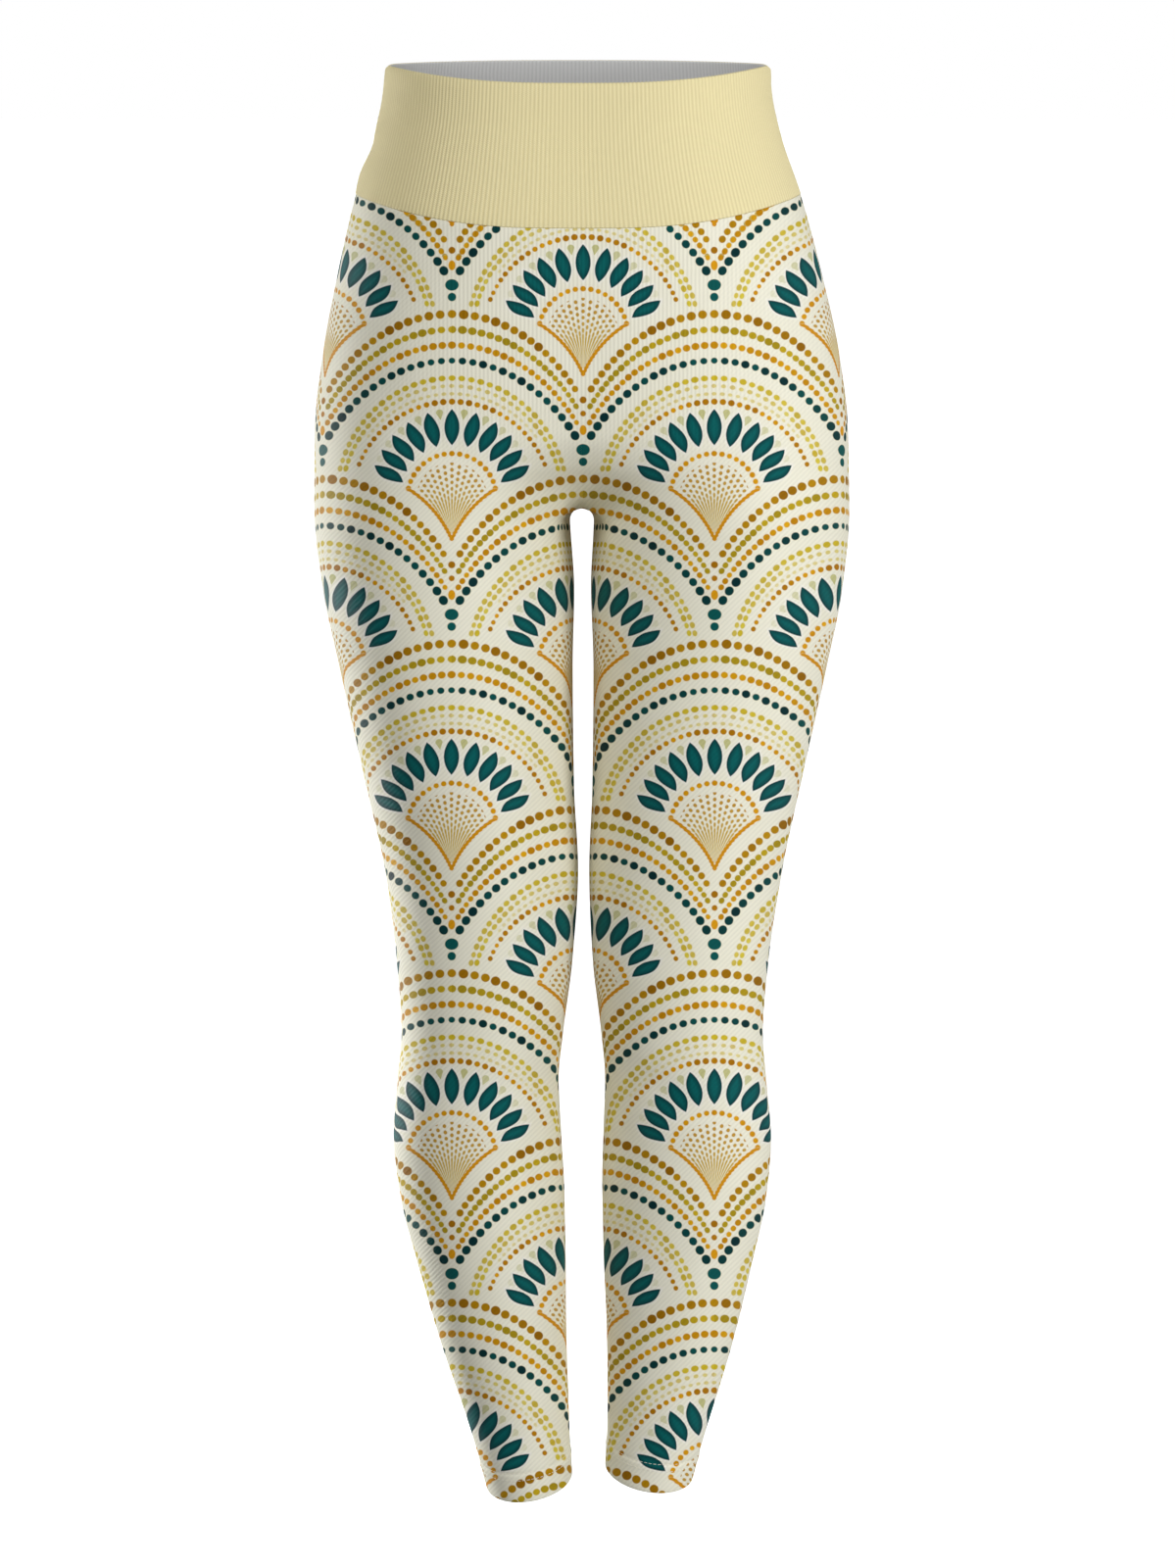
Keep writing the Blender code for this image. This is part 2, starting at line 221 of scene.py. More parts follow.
# Rows close to the waist seam and on both sides of the hem's stitching, in millimetres from them,
# and where the even rows between these start and stop
TOP_ROWS = (0.0, 0.15, 0.45)
TURN_ROWS = (-3.2, -2.2, -1.4, -0.7, 0.0, 0.7, 1.4, 2.2, 3.2)
BELOW_SEAM = 3.0
FROM_STITCHES = 5.0
HEM_ROWS = 7
FOLD_STEPS = 6

# How close the band's points have to be to be joined, and how far its rows are read from the
# edge of their map
WELD = 2e-5
MAP_MARGIN = 1e-5

# The leg's top edge is rounded, and its second layer starts this far below the hem's stitching
# and is whole after this much more
EDGE_RADIUS = 0.5
LAYER_FROM = 0.6
LAYER_OVER = 0.8

# How the print lies: flat as seen from the front, 4.5 m away and 7 degrees up, then eased
# round the sides so that it isn't drawn out where the cloth turns away
VIEW_DISTANCE = 4.5
VIEW_ELEVATION = 7.0
VIEW_TARGET = (0.00325, 0.0, -0.4744)
VIEW_HALF_HEIGHT = 0.52
PRINT_CENTRE = 0.00032
PRINT_TOP = 0.52
FRONT_COLUMN = round(0.45 * LEG_COLUMNS / 2)
FLATTENED = 0.45
FACING_FRONT = 0.9
EASE_AFTER = 68.0
EASE_FROM = 0.3
EASE_TO = 0.9
EASE_BLEND = 0.01
EASE_SET_BACK = 0.02
BACK_SCALE = 0.9
EASE_BELOW_CROTCH = 18.0


def monotone_cubic(xs, ys, x):
    """Smooth curve through the points that never overshoots them."""
    xs = np.asarray(xs, dtype=float)
    ys = np.asarray(ys, dtype=float)
    x = np.clip(x, xs[0], xs[-1])
    step = np.diff(xs)
    slope = np.diff(ys) / step
    tangent = np.zeros_like(ys)
    tangent[0] = slope[0]
    tangent[-1] = slope[-1]
    turning = slope[:-1] * slope[1:] <= 0.0
    weight_a = 2.0 * step[1:] + step[:-1]
    weight_b = step[1:] + 2.0 * step[:-1]
    safe_a = np.where(turning, 1.0, slope[:-1])
    safe_b = np.where(turning, 1.0, slope[1:])
    harmonic = (weight_a + weight_b) / (weight_a / safe_a + weight_b / safe_b)
    tangent[1:-1] = np.where(turning, 0.0, harmonic)
    k = np.clip(np.searchsorted(xs, x, side="right") - 1, 0, len(xs) - 2)
    t = (x - xs[k]) / step[k]
    rise = step[k] * (tangent[k] * t * (1 - t) ** 2 - tangent[k + 1] * t**2 * (1 - t))
    return ys[k] * (1 + 2 * t) * (1 - t) ** 2 + ys[k + 1] * t**2 * (3 - 2 * t) + rise


def column(table, name, down):
    """A table's named column at any level."""
    return monotone_cubic([row.down for row in table], [getattr(row, name) for row in table], down)


def thigh_pair(down, fill_name):
    """Radius, half spacing and melt of the two thigh ellipses that make up a section."""
    outer = column(FORM, "outer", down)
    below = np.maximum(down - CROTCH_DOWN, 0.0)
    opening = np.minimum(below / GAP_FULL, 1.0)
    gap = column(FORM, "gap", down) * opening**2 * (3.0 - 2.0 * opening)

    ratio = column(TRUNK, "spacing", down)
    fill = np.maximum(column(TRUNK, fill_name, down), 1e-9)
    depth = fill * (fill - 1 + ratio) / ratio
    melt_joined = 2 * ratio / fill * (1 - np.sqrt(np.maximum(1 - depth, 0.0)))
    fading = np.minimum(below / MELT_ENDS, 1.0)
    melt_parted = CROTCH_MELT * (1.0 - fading) ** 2 * (1.0 + 2.0 * fading)
    radius_sq_joined = outer**2 / (1 + ratio + np.sqrt(4 * ratio + melt_joined**2))

    middle_sq = (outer**2 + gap**2) / 2
    a = 1 - melt_parted**2 / 4
    b = melt_parted**2 * middle_sq / 2
    c = melt_parted**2 * middle_sq**2 / 4 + outer**2 * gap**2
    spread = (-b + np.sqrt(b**2 + 4 * a * c)) / (2 * a)

    parted = down > CROTCH_DOWN
    melt = np.where(parted, melt_parted, melt_joined)
    radius_sq = np.where(parted, (middle_sq - spread) / 2, radius_sq_joined)
    spacing_sq = np.where(parted, (middle_sq + spread) / 2, ratio * radius_sq_joined)
    joined_centre = outer / 2 * np.minimum(ratio / (1 + CROTCH_MELT), 1.0)
    centre = np.where(parted, (outer + gap) / 2, joined_centre)
    return gap, melt, radius_sq, spacing_sq, centre, outer - centre


def inner_edge(down, gap):
    """How far the inseam stands outside the thighs' own gap where the crotch rounds over."""
    opening = np.clip((down - CROTCH_DOWN) / CROTCH_ROUND, 0.0, 1.0)
    return column(FORM, "gap", down) * np.sqrt(1.0 - (1.0 - opening) ** 2) - gap


def body_surface(around, down):
    """Points on the left half of the worn form, in metres.

    around runs from 0 at the centre front, past 1 at the outer side, to 2 at the centre back.
    """
    around, down = np.broadcast_arrays(np.asarray(around, float), np.asarray(down, float))
    at_front = around <= 1.0
    along = np.where(at_front, around, 2.0 - around)
    halves = []
    for fill_name in ("fill_front", "fill_back"):
        gap, melt, radius_sq, spacing_sq, centre, reach = thigh_pair(down, fill_name)
        start = np.arccos(np.clip((centre - gap) / reach, -1.0, 1.0))
        x = centre - reach * np.cos(start + (math.pi - start) * along)
        inside = 1 - (x**2 + spacing_sq) / radius_sq
        inside = inside + np.sqrt(4 * x**2 * spacing_sq / radius_sq**2 + melt**2)
        highest = 1 + melt**2 * radius_sq / (4 * spacing_sq)
        flattened = inner_edge(down, gap) * np.exp(-(((x - gap) / CROTCH_FLAT) ** 2))
        halves.append((x + flattened, np.sqrt(np.clip(inside / highest, 0.0, 1.0))))
    x = np.where(at_front, halves[0][0], halves[1][0])
    bulge = np.where(at_front, halves[0][1], halves[1][1])

    front = column(FORM, "front", down)
    back = column(FORM, "back", down)
    middle = (front + back) / 2
    half_depth = (back - front) / 2
    offset = np.where(at_front, -bulge, bulge) * half_depth
    y = middle + offset

    dip = np.where(at_front, column(TIPS, "dip", down), -column(TIPS, "rise", down)) * bulge**2
    leg_middle = (column(FORM, "outer", down) + column(FORM, "gap", down)) / 2
    z = -down - dip
    z = z - column(TIPS, "lean_out", down) * (x - leg_middle)
    z = z + column(TIPS, "lean_front", down) * offset
    x = np.maximum(x, SEAM_GAP / 10)
    return np.stack([x, y, z], axis=-1) * MM


def fold_depth(leg, around, down):
    """Depth of the soft folds at a place on a leg, in metres."""
    quarter_girth = column(FORM, "outer", down) - column(FORM, "gap", down) / 2
    depth = np.zeros(np.shape(around))
    for fold in FOLDS:
        if fold.leg != leg:
            continue
        px = (around - fold.around) * quarter_girth
        py = down - fold.down
        dx = (fold.to_around - fold.around) * quarter_girth
        dy = fold.to_down - fold.down
        t = np.clip((px * dx + py * dy) / (dx**2 + dy**2), 0.0, 1.0)
        away = np.hypot(px - t * dx, py - t * dy) / fold.width
        fade = FOLD_END + (1 - FOLD_END) * np.sin(math.pi * t)
        depth = depth + fold.depth * fade * np.exp(-(away**2))
    return depth * MM


def unit(vectors):
    """Vectors of length one."""
    return vectors / np.maximum(np.linalg.norm(vectors, axis=-1, keepdims=True), 1e-12)


def hem_relief(above_hem):
    """How far the cloth stands out near the hem: pinched at its stitching, proud below it."""
    pinch = -HEM_PINCH * np.exp(-(((above_hem - HEM_DEPTH) / PINCH_WIDTH) ** 2))
    proud = HEM_PINCH * np.clip((HEM_DEPTH - above_hem) / PROUD_WIDTH, 0.0, 1.0)
    return (pinch + proud) * MM


def leg_surface(leg, around, down):
    """Points on a leg's outer face before it leans, and the directions out of them.

    Below the crotch the surface closes on itself at the inseam, so around wraps there.
    """
    around, down = np.broadcast_arrays(np.asarray(around, float), np.asarray(down, float))
    joined = down > CROTCH_DOWN
    after = np.where(joined, (around + NUDGE_ROUND) % 2.0, np.minimum(around + NUDGE_ROUND, 2.0))
    before = np.where(joined, (around - NUDGE_ROUND) % 2.0, np.maximum(around - NUDGE_ROUND, 0.0))
    ahead = body_surface(after, down) - body_surface(before, down)
    below = body_surface(around, down + NUDGE_DOWN) - body_surface(around, down - NUDGE_DOWN)
    normal = np.cross(below, ahead)
    at_centre = np.minimum(around, 2.0 - around) < 1e-6
    normal[..., 0] = np.where(at_centre & ~joined, 0.0, normal[..., 0])
    normal = unit(normal)
    crotch = (np.abs(down - CROTCH_DOWN) < 0.5) & at_centre
    normal = np.where(crotch[..., None], (0.0, 0.0, -1.0), normal)
    relief = hem_relief(HEM_DOWN[leg] - down) - fold_depth(leg, around, down)
    return body_surface(around, down) + normal * relief[..., None], normal


def side_sign(leg):
    """1 on the left, where the form is worked out, and -1 on the right."""
    return 1.0 if leg == "left" else -1.0


def placed_on(leg, around, down, depth):
    """Points of a leg at a depth under its outer face, as worn, and the ways out of them."""
    points, normal = leg_surface(leg, around, down)
    mirror = np.array([side_sign(leg), 1.0, 1.0])
    return leaned((points - normal * np.asarray(depth)[..., None]) * mirror), normal * mirror


def row_level(side_level, along):
    """Level of a row at a place along it: rows crowd together towards the crotch."""
    away = side_level - CROTCH_DOWN
    body = CROTCH_DOWN - BAND_HEIGHT - SEAM_GAP / 2
    t = np.minimum(np.abs(away) / CROTCH_SPREAD, 1.0)
    centre_below = away * t * (2.0 - t)
    centre_above = -(away**2) / body
    centre = CROTCH_DOWN + np.where(away > 0.0, centre_below, centre_above)
    weight = (1.0 - along) ** 2
    return side_level * (1.0 - weight) + centre * weight


def leaned(points):
    """Points shifted with the sideways lean of the centre line."""
    shifted = points.copy()
    shifted[..., 0] += column(FORM, "lean", -points[..., 2] / MM) * MM
    return shifted


# ---------------------------------------------------------------- nodes and colours

# Short names for the kinds of node used most. Any other word in capitals is a maths node's
# operation, and after VECTOR or MIX comes that node's operation or type of data
KINDS = {
    "RANGE": "ShaderNodeMapRange",
    "APART": "ShaderNodeSeparateXYZ",
    "JOIN": "ShaderNodeCombineXYZ",
    "NOISE": "ShaderNodeTexNoise",
    "ATTRIBUTE": "GeometryNodeInputNamedAttribute",
}
FAMILIES = {
    "VECTOR": ("ShaderNodeVectorMath", "operation"),
    "MIX": ("ShaderNodeMix", "data_type"),
}


def linear(hex_colour):
    """The linear RGBA that Blender's sockets take, from an sRGB hex value."""
    srgb = [int(hex_colour[i:i + 2], 16) / 255 for i in (0, 2, 4)]
    return (*[c / 12.92 if c <= 0.04045 else ((c + 0.055) / 1.055) ** 2.4 for c in srgb], 1.0)


def put(tree, socket, value):
    """Links a socket to an input, or sets the input to a plain value or a hex colour."""
    if isinstance(value, bpy.types.NodeSocket):
        tree.links.new(value, socket)
    elif value is not None:
        socket.default_value = linear(value) if socket.type == "RGBA" else value


def add_node(tree, kind, *values, out=0, **settings):
    """Adds a node, sets it up, fills its inputs in order and returns one of its outputs.

    A value may be a socket to link, a plain value, or None to leave the input as it is.
    """
    family, _, choice = kind.partition(" ")
    if choice:
        kind, setting = FAMILIES[family]
        settings[setting] = choice
    elif kind in KINDS:
        kind = KINDS[kind]
    elif kind.isupper():
        settings["operation"] = kind
        kind = "ShaderNodeMath"
    node = tree.nodes.new(kind)
    for name, value in settings.items():
        setattr(node, name, value)
    for socket, value in zip([s for s in node.inputs if s.enabled], values):
        put(tree, socket, value)
    outputs = [s for s in node.outputs if s.enabled]
    return outputs[out] if outputs else None


def new_tree(name, kind, inputs, output, output_type):
    """An empty node tree with a named output and named inputs, what adds to it, and its inputs."""
    tree = bpy.data.node_groups.new(name, kind)
    for direction, sockets in (("INPUT", inputs), ("OUTPUT", {output: output_type})):
        for label, data_type in sockets.items():
            tree.interface.new_socket(name=label, in_out=direction,
                                      socket_type="NodeSocket" + data_type)
    add = partial(add_node, tree)
    given = add("NodeGroupInput").node.outputs
    return tree, add, {socket.name: socket for socket in given if socket.name}


def new_material(name):
    """A material, what adds nodes to it, and what fills the inputs of its shader by name."""
    material = bpy.data.materials.new(name)
    material.use_nodes = True
    tree = material.node_tree
    shader = tree.nodes["Principled BSDF"]

    def finish(**values):
        for label, value in values.items():
            put(tree, shader.inputs[label.replace("_", " ")], value)
        return material

    return partial(add_node, tree), finish


def wave(add, kind, value, pitch):
    """A sine or cosine whose crests lie a pitch apart."""
    return add(kind, add("MULTIPLY", value, 2 * math.pi / pitch))


# ---------------------------------------------------------------- the scallop print

# One scallop of the repeat, in millimetres. Rows are a half drop: each row of scallops sits
# half a scallop across from the one above and covers its lower part.
SCALLOP_WIDTH = 174.0
ROW_PITCH = 109.3
FIRST_CROWN = 99.0
INK_SOFTNESS = 0.25
HALO = 1.0

# A scallop is one arch, taller than it is wide. Its edge runs a margin outside its first dots
ARCH_HALF_WIDTH = 105.0
ARCH_HEIGHT = 134.0
EDGE_MARGIN = 4.0

# The outer rows of dots repeat that arch, each a step lower. The inner rows are nested arches
# round a middle of their own, each a step lower and narrower than the one outside it.
OUTER_ROWS = 4
OUTER_STEP = 10.3
INNER_CROWN = 42.5
INNER_STEP = 5.2
INNER_CENTRE = 125.0
INNER_HALF_WIDTH = 77.0
INNER_NARROWING = 3.5

# The fan below them: a round row of dots over two hollow sides that meet in a tip, with rays of
# dots between the sides. The sides swell a little in beads. Ray dots are shortened near the tip,
# and the last ray stops short of the side.
FAN_CENTRE = 122.0
FAN_ROW_RADIUS = 29.5
FAN_TOP_ROW = 23.5
FAN_TIP = 149.5
FAN_CORNER = (29.0, 116.0)
FAN_HOLLOW = 3.5
FAN_SIDE_WIDTH = 1.15
BEAD_PITCH = 2.3
BEAD_SWELL = 0.2
RAY_COUNT = 7.2
RAY_PITCH = 4.2
RAY_DOT = 0.31
RAY_DOT_MOST = 1.2
RAY_SQUEEZE = (22.0, 38.0, 0.05, 0.9)
RAY_SHADE = (14.0, 44.0, 0.0, 1.0)
RAY_LAST = 6.5
RAY_CUT = 5.0

# Each row's dots, from the outermost row in. turn is how many degrees it goes down from its
# crown, and pitch and radius are a dot's spacing and size at the crown and at the end.
DOTS = table(
    "turn pitch end_pitch radius end_radius stretch opacity end_opacity light dark",
    (51, 8.0, 6.0, 3.00, 2.40, 1.05, 1.0, 1.0, "C08F06", "946300"),
    (51, 7.2, 4.5, 2.50, 1.75, 1.15, 1.0, 1.0, "CBAC1E", "A68D16"),
    (52, 6.5, 4.8, 2.35, 1.75, 1.10, 1.0, 1.0, "E2A80C", "BE8200"),
    (51, 7.0, 7.5, 2.25, 2.80, 1.10, 1.0, 1.0, "03504D", "002C2F"),
    (76, 6.6, 5.6, 1.95, 1.65, 1.25, 1.0, 0.9, "DAC22E", "C4AA1C"),
    (72, 6.2, 5.2, 1.30, 1.70, 1.30, 0.7, 1.0, "DBC83E", "C9AD1E"),
    (52, 5.4, 4.6, 1.15, 1.00, 1.40, 0.7, 0.5, "DECB50", "D0B838"),
    (68, 5.8, 4.8, 2.00, 1.50, 1.05, 1.0, 1.0, "DC9E06", "A86E00"),
    (78, 5.2, 4.8, 1.70, 1.75, 1.05, 1.0, 1.0, "E7A90E", "CC8C04"),
)
LEAST_CROWDING = 0.05
# A dot's size varies between these shares. SIDE_SHIFT sets the left and right of a scallop apart
DOT_SIZES = (0.88, 1.1)
SIDE_SHIFT = 0.37

# Single spots where two scallops meet above the next one, half a scallop from the crown
SPOTS = table(
    "down half_width half_height ink",
    (57.0, 2.3, 2.3, "A87004"),
    (66.0, 1.9, 1.9, "B67A06"),
    (77.0, 2.3, 3.3, "DE9C10"),
    (90.0, 4.5, 3.8, "035653"),
    (98.0, 2.8, 2.8, "035653"),
)

# Under the waistband the first row's outer dots, first spots and fan sit lower
MOVED_ROWS = (0, 1)
MOVED_SPOTS = (0, 1)
MOVED_ABOVE = 170.5
MOVED_BY = 10.0

# Leaves fan out round a point below the crown. The first stands this far from the middle leaf,
# the last this far down the side, and they crowd a little on the way
LEAF_CENTRE = 117.0
LEAF_OUTER = 54.0
LEAF_INNER = 30.0
LEAF_HEEL_RISE = 0.55
LEAF_TURN = 1.12
LEAF_SWAY = 0.55
LEAF_FIRST = math.radians(17.5)
LEAF_END = math.radians(72.0)
LEAF_LAST = 5.0
LEAF_CROWDING = (LEAF_LAST / LEAF_END - 1.0 / LEAF_FIRST) / (LEAF_END - LEAF_FIRST)
LEAF_COUNT = 1.0 / LEAF_FIRST - LEAF_CROWDING * LEAF_FIRST
LEAF_HALF_WIDTH = 5.0
LEAF_SLIMMER = 0.2

# The drops between the leaves' tips: where their round ends lie, and their size
DROP_AT = 52.0
DROP_LENGTH = 4.6
DROP_RADIUS = 2.4
DROP_INK = (0.85, 0.25)


def ink_over(add, ground, edge, ink, opacity, halo=0.3):
    """Lays one ink over the ground inside an edge distance, with a pale rim round it."""
    rim = add("RANGE", edge, HALO, 0.0, 0.0, halo)
    rimmed = add("MIX RGBA", rim, ground, "F6EBC0")
    print_mask = add("RANGE", edge, INK_SOFTNESS, -INK_SOFTNESS, 0.0, opacity)
    return add("MIX RGBA", print_mask, rimmed, ink)


def dotted_arc_tree():
    """A node group that prints one row of dots along half an arch."""
    sizes = ("Crown", "Half Width", "Height", "Dots", "Crowding", "Last", "Radius", "Growth",
             "Squeeze", "Opacity", "Fade", "Seed")
    inputs = {"Ground": "Color", "Place": "Vector", **dict.fromkeys(sizes, "Float"),
              "Light": "Color", "Dark": "Color"}
    tree, add, given = new_tree("Dotted arc", "ShaderNodeTree", inputs, "Colour", "Color")
    half_width = given["Half Width"]
    height = given["Height"]
    dots = given["Dots"]
    x, y, side = add("APART", given["Place"]).node.outputs
    above = add("SUBTRACT", add("ADD", given["Crown"], height), y)
    turn = add("ARCTAN2", add("DIVIDE", x, half_width), add("DIVIDE", above, height))

    # The nearest dot's number, and the angle where that dot sits
    count = add("MULTIPLY", turn, add("MULTIPLY_ADD", turn, given["Crowding"], dots))
    number = add("MINIMUM", add("ROUND", count), given["Last"])
    four = add("MULTIPLY", given["Crowding"], 4.0)
    root = add("SQRT", add("MULTIPLY_ADD", four, number, add("MULTIPLY", dots, dots)))
    twice = add("MULTIPLY", given["Crowding"], 2.0)
    at = add("DIVIDE", add("SUBTRACT", root, dots), twice)
    sine = add("SINE", at)
    cosine = add("COSINE", at)
    from_x = add("SUBTRACT", x, add("MULTIPLY", half_width, sine))
    from_y = add("SUBTRACT", add("MULTIPLY", height, cosine), above)
    away = add("JOIN", from_x, from_y)
    way = add("JOIN", add("MULTIPLY", half_width, cosine), add("MULTIPLY", height, sine))
    travelled = add("VECTOR DOT_PRODUCT", away, add("VECTOR NORMALIZE", way))
    distance_sq = add("VECTOR DOT_PRODUCT", away, away)
    less = add("MULTIPLY", add("MULTIPLY", travelled, travelled), given["Squeeze"])
    distance = add("SQRT", add("SUBTRACT", distance_sq, less))

    # Each dot has its own size and shade, the same in every scallop
    shifted = add("MULTIPLY_ADD", side, SIDE_SHIFT, number)
    chance = add("ShaderNodeTexWhiteNoise", add("JOIN", shifted, given["Seed"]),
                 noise_dimensions="2D")
    wanted = add("MULTIPLY_ADD", number, given["Growth"], given["Radius"])
    radius = add("MULTIPLY", wanted, add("RANGE", chance, 0.0, 1.0, *DOT_SIZES))
    edge = add("SUBTRACT", distance, radius)
    opacity = add("MULTIPLY_ADD", number, given["Fade"], given["Opacity"])
    ink = add("MIX RGBA", chance, given["Light"], given["Dark"])
    add("NodeGroupOutput", ink_over(add, given["Ground"], edge, ink, opacity))
    return tree


def row_arch(number):
    """Crown, half width and height of a row of dots, from the outermost row in."""
    if number < OUTER_ROWS:
        return number * OUTER_STEP, ARCH_HALF_WIDTH, ARCH_HEIGHT
    if number == len(DOTS) - 1:
        return FAN_CENTRE - FAN_ROW_RADIUS, FAN_ROW_RADIUS, FAN_ROW_RADIUS
    nested = number - OUTER_ROWS
    crown = INNER_CROWN + nested * INNER_STEP
    return crown, INNER_HALF_WIDTH - nested * INNER_NARROWING, INNER_CENTRE - crown


def arc_values(number, dots):
    """The dotted arc group's numbers and inks for one row of dots."""
    crown, half_width, height = row_arch(number)
    end = math.radians(dots.turn)
    speed = math.hypot(half_width * math.cos(end), height * math.sin(end))
    first = half_width / dots.pitch
    crowding = (speed / dots.end_pitch - first) / (2 * end)
    if abs(crowding) < LEAST_CROWDING:
        crowding = LEAST_CROWDING
    last = max(round(end * (first + crowding * end)), 1)
    return (crown, half_width, height, first, crowding, float(last), dots.radius,
            (dots.end_radius - dots.radius) / last, 1 - 1 / dots.stretch**2, dots.opacity,
            (dots.end_opacity - dots.opacity) / last, float(number), dots.light, dots.dark)


def fan_side():
    """The hollow side of the fan: its circle's centre and radius, and its slope at the tip."""
    across = FAN_CORNER[0]
    up = FAN_TIP - FAN_CORNER[1]
    chord = math.hypot(across, up)
    radius = (chord**2 / 4 + FAN_HOLLOW**2) / (2 * FAN_HOLLOW)
    reach = (radius - FAN_HOLLOW) / chord
    centre = (across / 2 + up * reach, FAN_TIP - up / 2 + across * reach, 0.0)
    return centre, radius, math.atan2(centre[1] - FAN_TIP, centre[0])


def scallop_place(add, across, down, moved):
    """Where a point lies on the scallop that covers it: across from its axis, down, and side."""
    lifted = add("SUBTRACT", down, FIRST_CROWN - EDGE_MARGIN)
    row = add("FLOOR", add("DIVIDE", lifted, ROW_PITCH))
    below = add("MULTIPLY_ADD", row, -ROW_PITCH, add("SUBTRACT", lifted, EDGE_MARGIN))
    odd = add("FLOORED_MODULO", row, 2.0)
    shifted = add("MULTIPLY_ADD", odd, -SCALLOP_WIDTH / 2, across)
    nearest = add("ROUND", add("DIVIDE", shifted, SCALLOP_WIDTH))
    local = add("MULTIPLY_ADD", nearest, -SCALLOP_WIDTH, shifted)
    off = add("ABSOLUTE", local)
    ratio = add("DIVIDE", off, ARCH_HALF_WIDTH + EDGE_MARGIN)
    reach = add("SQRT", add("SUBTRACT", 1.0, add("MULTIPLY", ratio, ratio)))
    arch = add("MULTIPLY_ADD", reach, -ARCH_HEIGHT - EDGE_MARGIN, ARCH_HEIGHT)
    inside = add("GREATER_THAN", below, add("ADD", arch, moved))
    side = add("SIGN", local)
    here = add("JOIN", off, below, side)
    above = add("JOIN", add("SUBTRACT", SCALLOP_WIDTH / 2, off), add("ADD", below, ROW_PITCH),
                add("MULTIPLY", side, -1.0))
    return add("MIX VECTOR", inside, above, here)


def print_leaves(add, ground, x, y):
    """Eleven leaves fanned round a point, and the small drops between their tips."""
    up = add("SUBTRACT", LEAF_CENTRE, y)
    place = add("JOIN", x, up)
    radius = add("VECTOR LENGTH", place)
    twist = add("RANGE", radius, LEAF_INNER, LEAF_OUTER, LEAF_TURN, 1.0)
    straight = add("DIVIDE", add("ARCTAN2", x, up), twist)
    crowded = add("MULTIPLY_ADD", straight, LEAF_CROWDING, LEAF_COUNT)
    count = add("MULTIPLY", straight, crowded)

    def angle_of(number):
        root = add("SQRT", add("MULTIPLY_ADD", number, 4 * LEAF_CROWDING, LEAF_COUNT**2))
        return add("DIVIDE", add("SUBTRACT", root, LEAF_COUNT), 2 * LEAF_CROWDING)

    def spoke(angle, length):
        return add("VECTOR SCALE", add("JOIN", add("SINE", angle), add("COSINE", angle)), length)

    # Drops sit half way between two leaves and fade towards the sides
    gap_number = add("MINIMUM", add("ADD", add("FLOOR", count), 0.5), LEAF_LAST - 0.5)
    reach = add("VECTOR DOT_PRODUCT", place, spoke(angle_of(gap_number), 1.0))
    outward = add("SUBTRACT", reach, DROP_AT)
    sideways = add("SQRT", add("SUBTRACT", add("MULTIPLY", radius, radius),
                               add("MULTIPLY", reach, reach)))
    taper = add("RANGE", outward, -DROP_LENGTH, 0.0, 0.06, 1.0)
    drop = add("VECTOR LENGTH", add("JOIN", add("DIVIDE", sideways, taper),
                                    add("MAXIMUM", outward, 0.0)))
    drop_edge = add("MAXIMUM", add("SUBTRACT", drop, DROP_RADIUS),
                    add("SUBTRACT", -DROP_LENGTH, outward))
    drop_ink = add("RANGE", gap_number, 0.5, LEAF_LAST - 0.5, *DROP_INK)
    ground = ink_over(add, ground, drop_edge, "BDBB72", drop_ink, halo=0.0)

    number = add("MINIMUM", add("ROUND", count), LEAF_LAST)
    angle = angle_of(number)
    tip = spoke(angle, LEAF_OUTER)
    heel = spoke(add("MULTIPLY", angle, LEAF_TURN),
                 add("MULTIPLY_ADD", number, LEAF_HEEL_RISE, LEAF_INNER))
    spine = add("VECTOR SUBTRACT", tip, heel)
    half_length = add("MULTIPLY", add("VECTOR LENGTH", spine), 0.5)
    axis = add("VECTOR NORMALIZE", spine)
    middle = add("VECTOR SCALE", add("VECTOR ADD", tip, heel), 0.5)
    from_middle = add("VECTOR SUBTRACT", place, middle)
    along = add("VECTOR DOT_PRODUCT", from_middle, axis)
    across = add("VECTOR DOT_PRODUCT", add("VECTOR CROSS_PRODUCT", from_middle, axis),
                 (0.0, 0.0, 1.0))

    # Each leaf is the overlap of two circles, a little fuller towards its tip on one side
    lean = add("MULTIPLY", add("DIVIDE", along, half_length), math.pi)
    sway = add("MULTIPLY", add("SINE", lean), add("RANGE", number, 0.0, 2.0, 0.0, LEAF_SWAY))
    swayed = add("SUBTRACT", across, sway)
    half_width = add("MULTIPLY_ADD", number, -LEAF_SLIMMER, LEAF_HALF_WIDTH)
    bulge = add("SUBTRACT", add("MULTIPLY", half_length, half_length),
                add("MULTIPLY", half_width, half_width))
    offset = add("DIVIDE", bulge, add("MULTIPLY", half_width, 2.0))
    off_circle = add("ADD", add("ABSOLUTE", swayed), offset)
    to_circle = add("VECTOR LENGTH", add("JOIN", along, off_circle))
    edge = add("SUBTRACT", to_circle, add("ADD", offset, half_width))
    ink = add("MIX RGBA", add("RANGE", edge, -0.2, -3.4, 0.0, 1.0), "013A3E", "025F5E")
    ground = add("MIX RGBA", add("RANGE", edge, 2.0, 0.0, 0.0, 0.7), ground, "FBF9F2")
    return ink_over(add, ground, edge, ink, 1.0, halo=0.0)


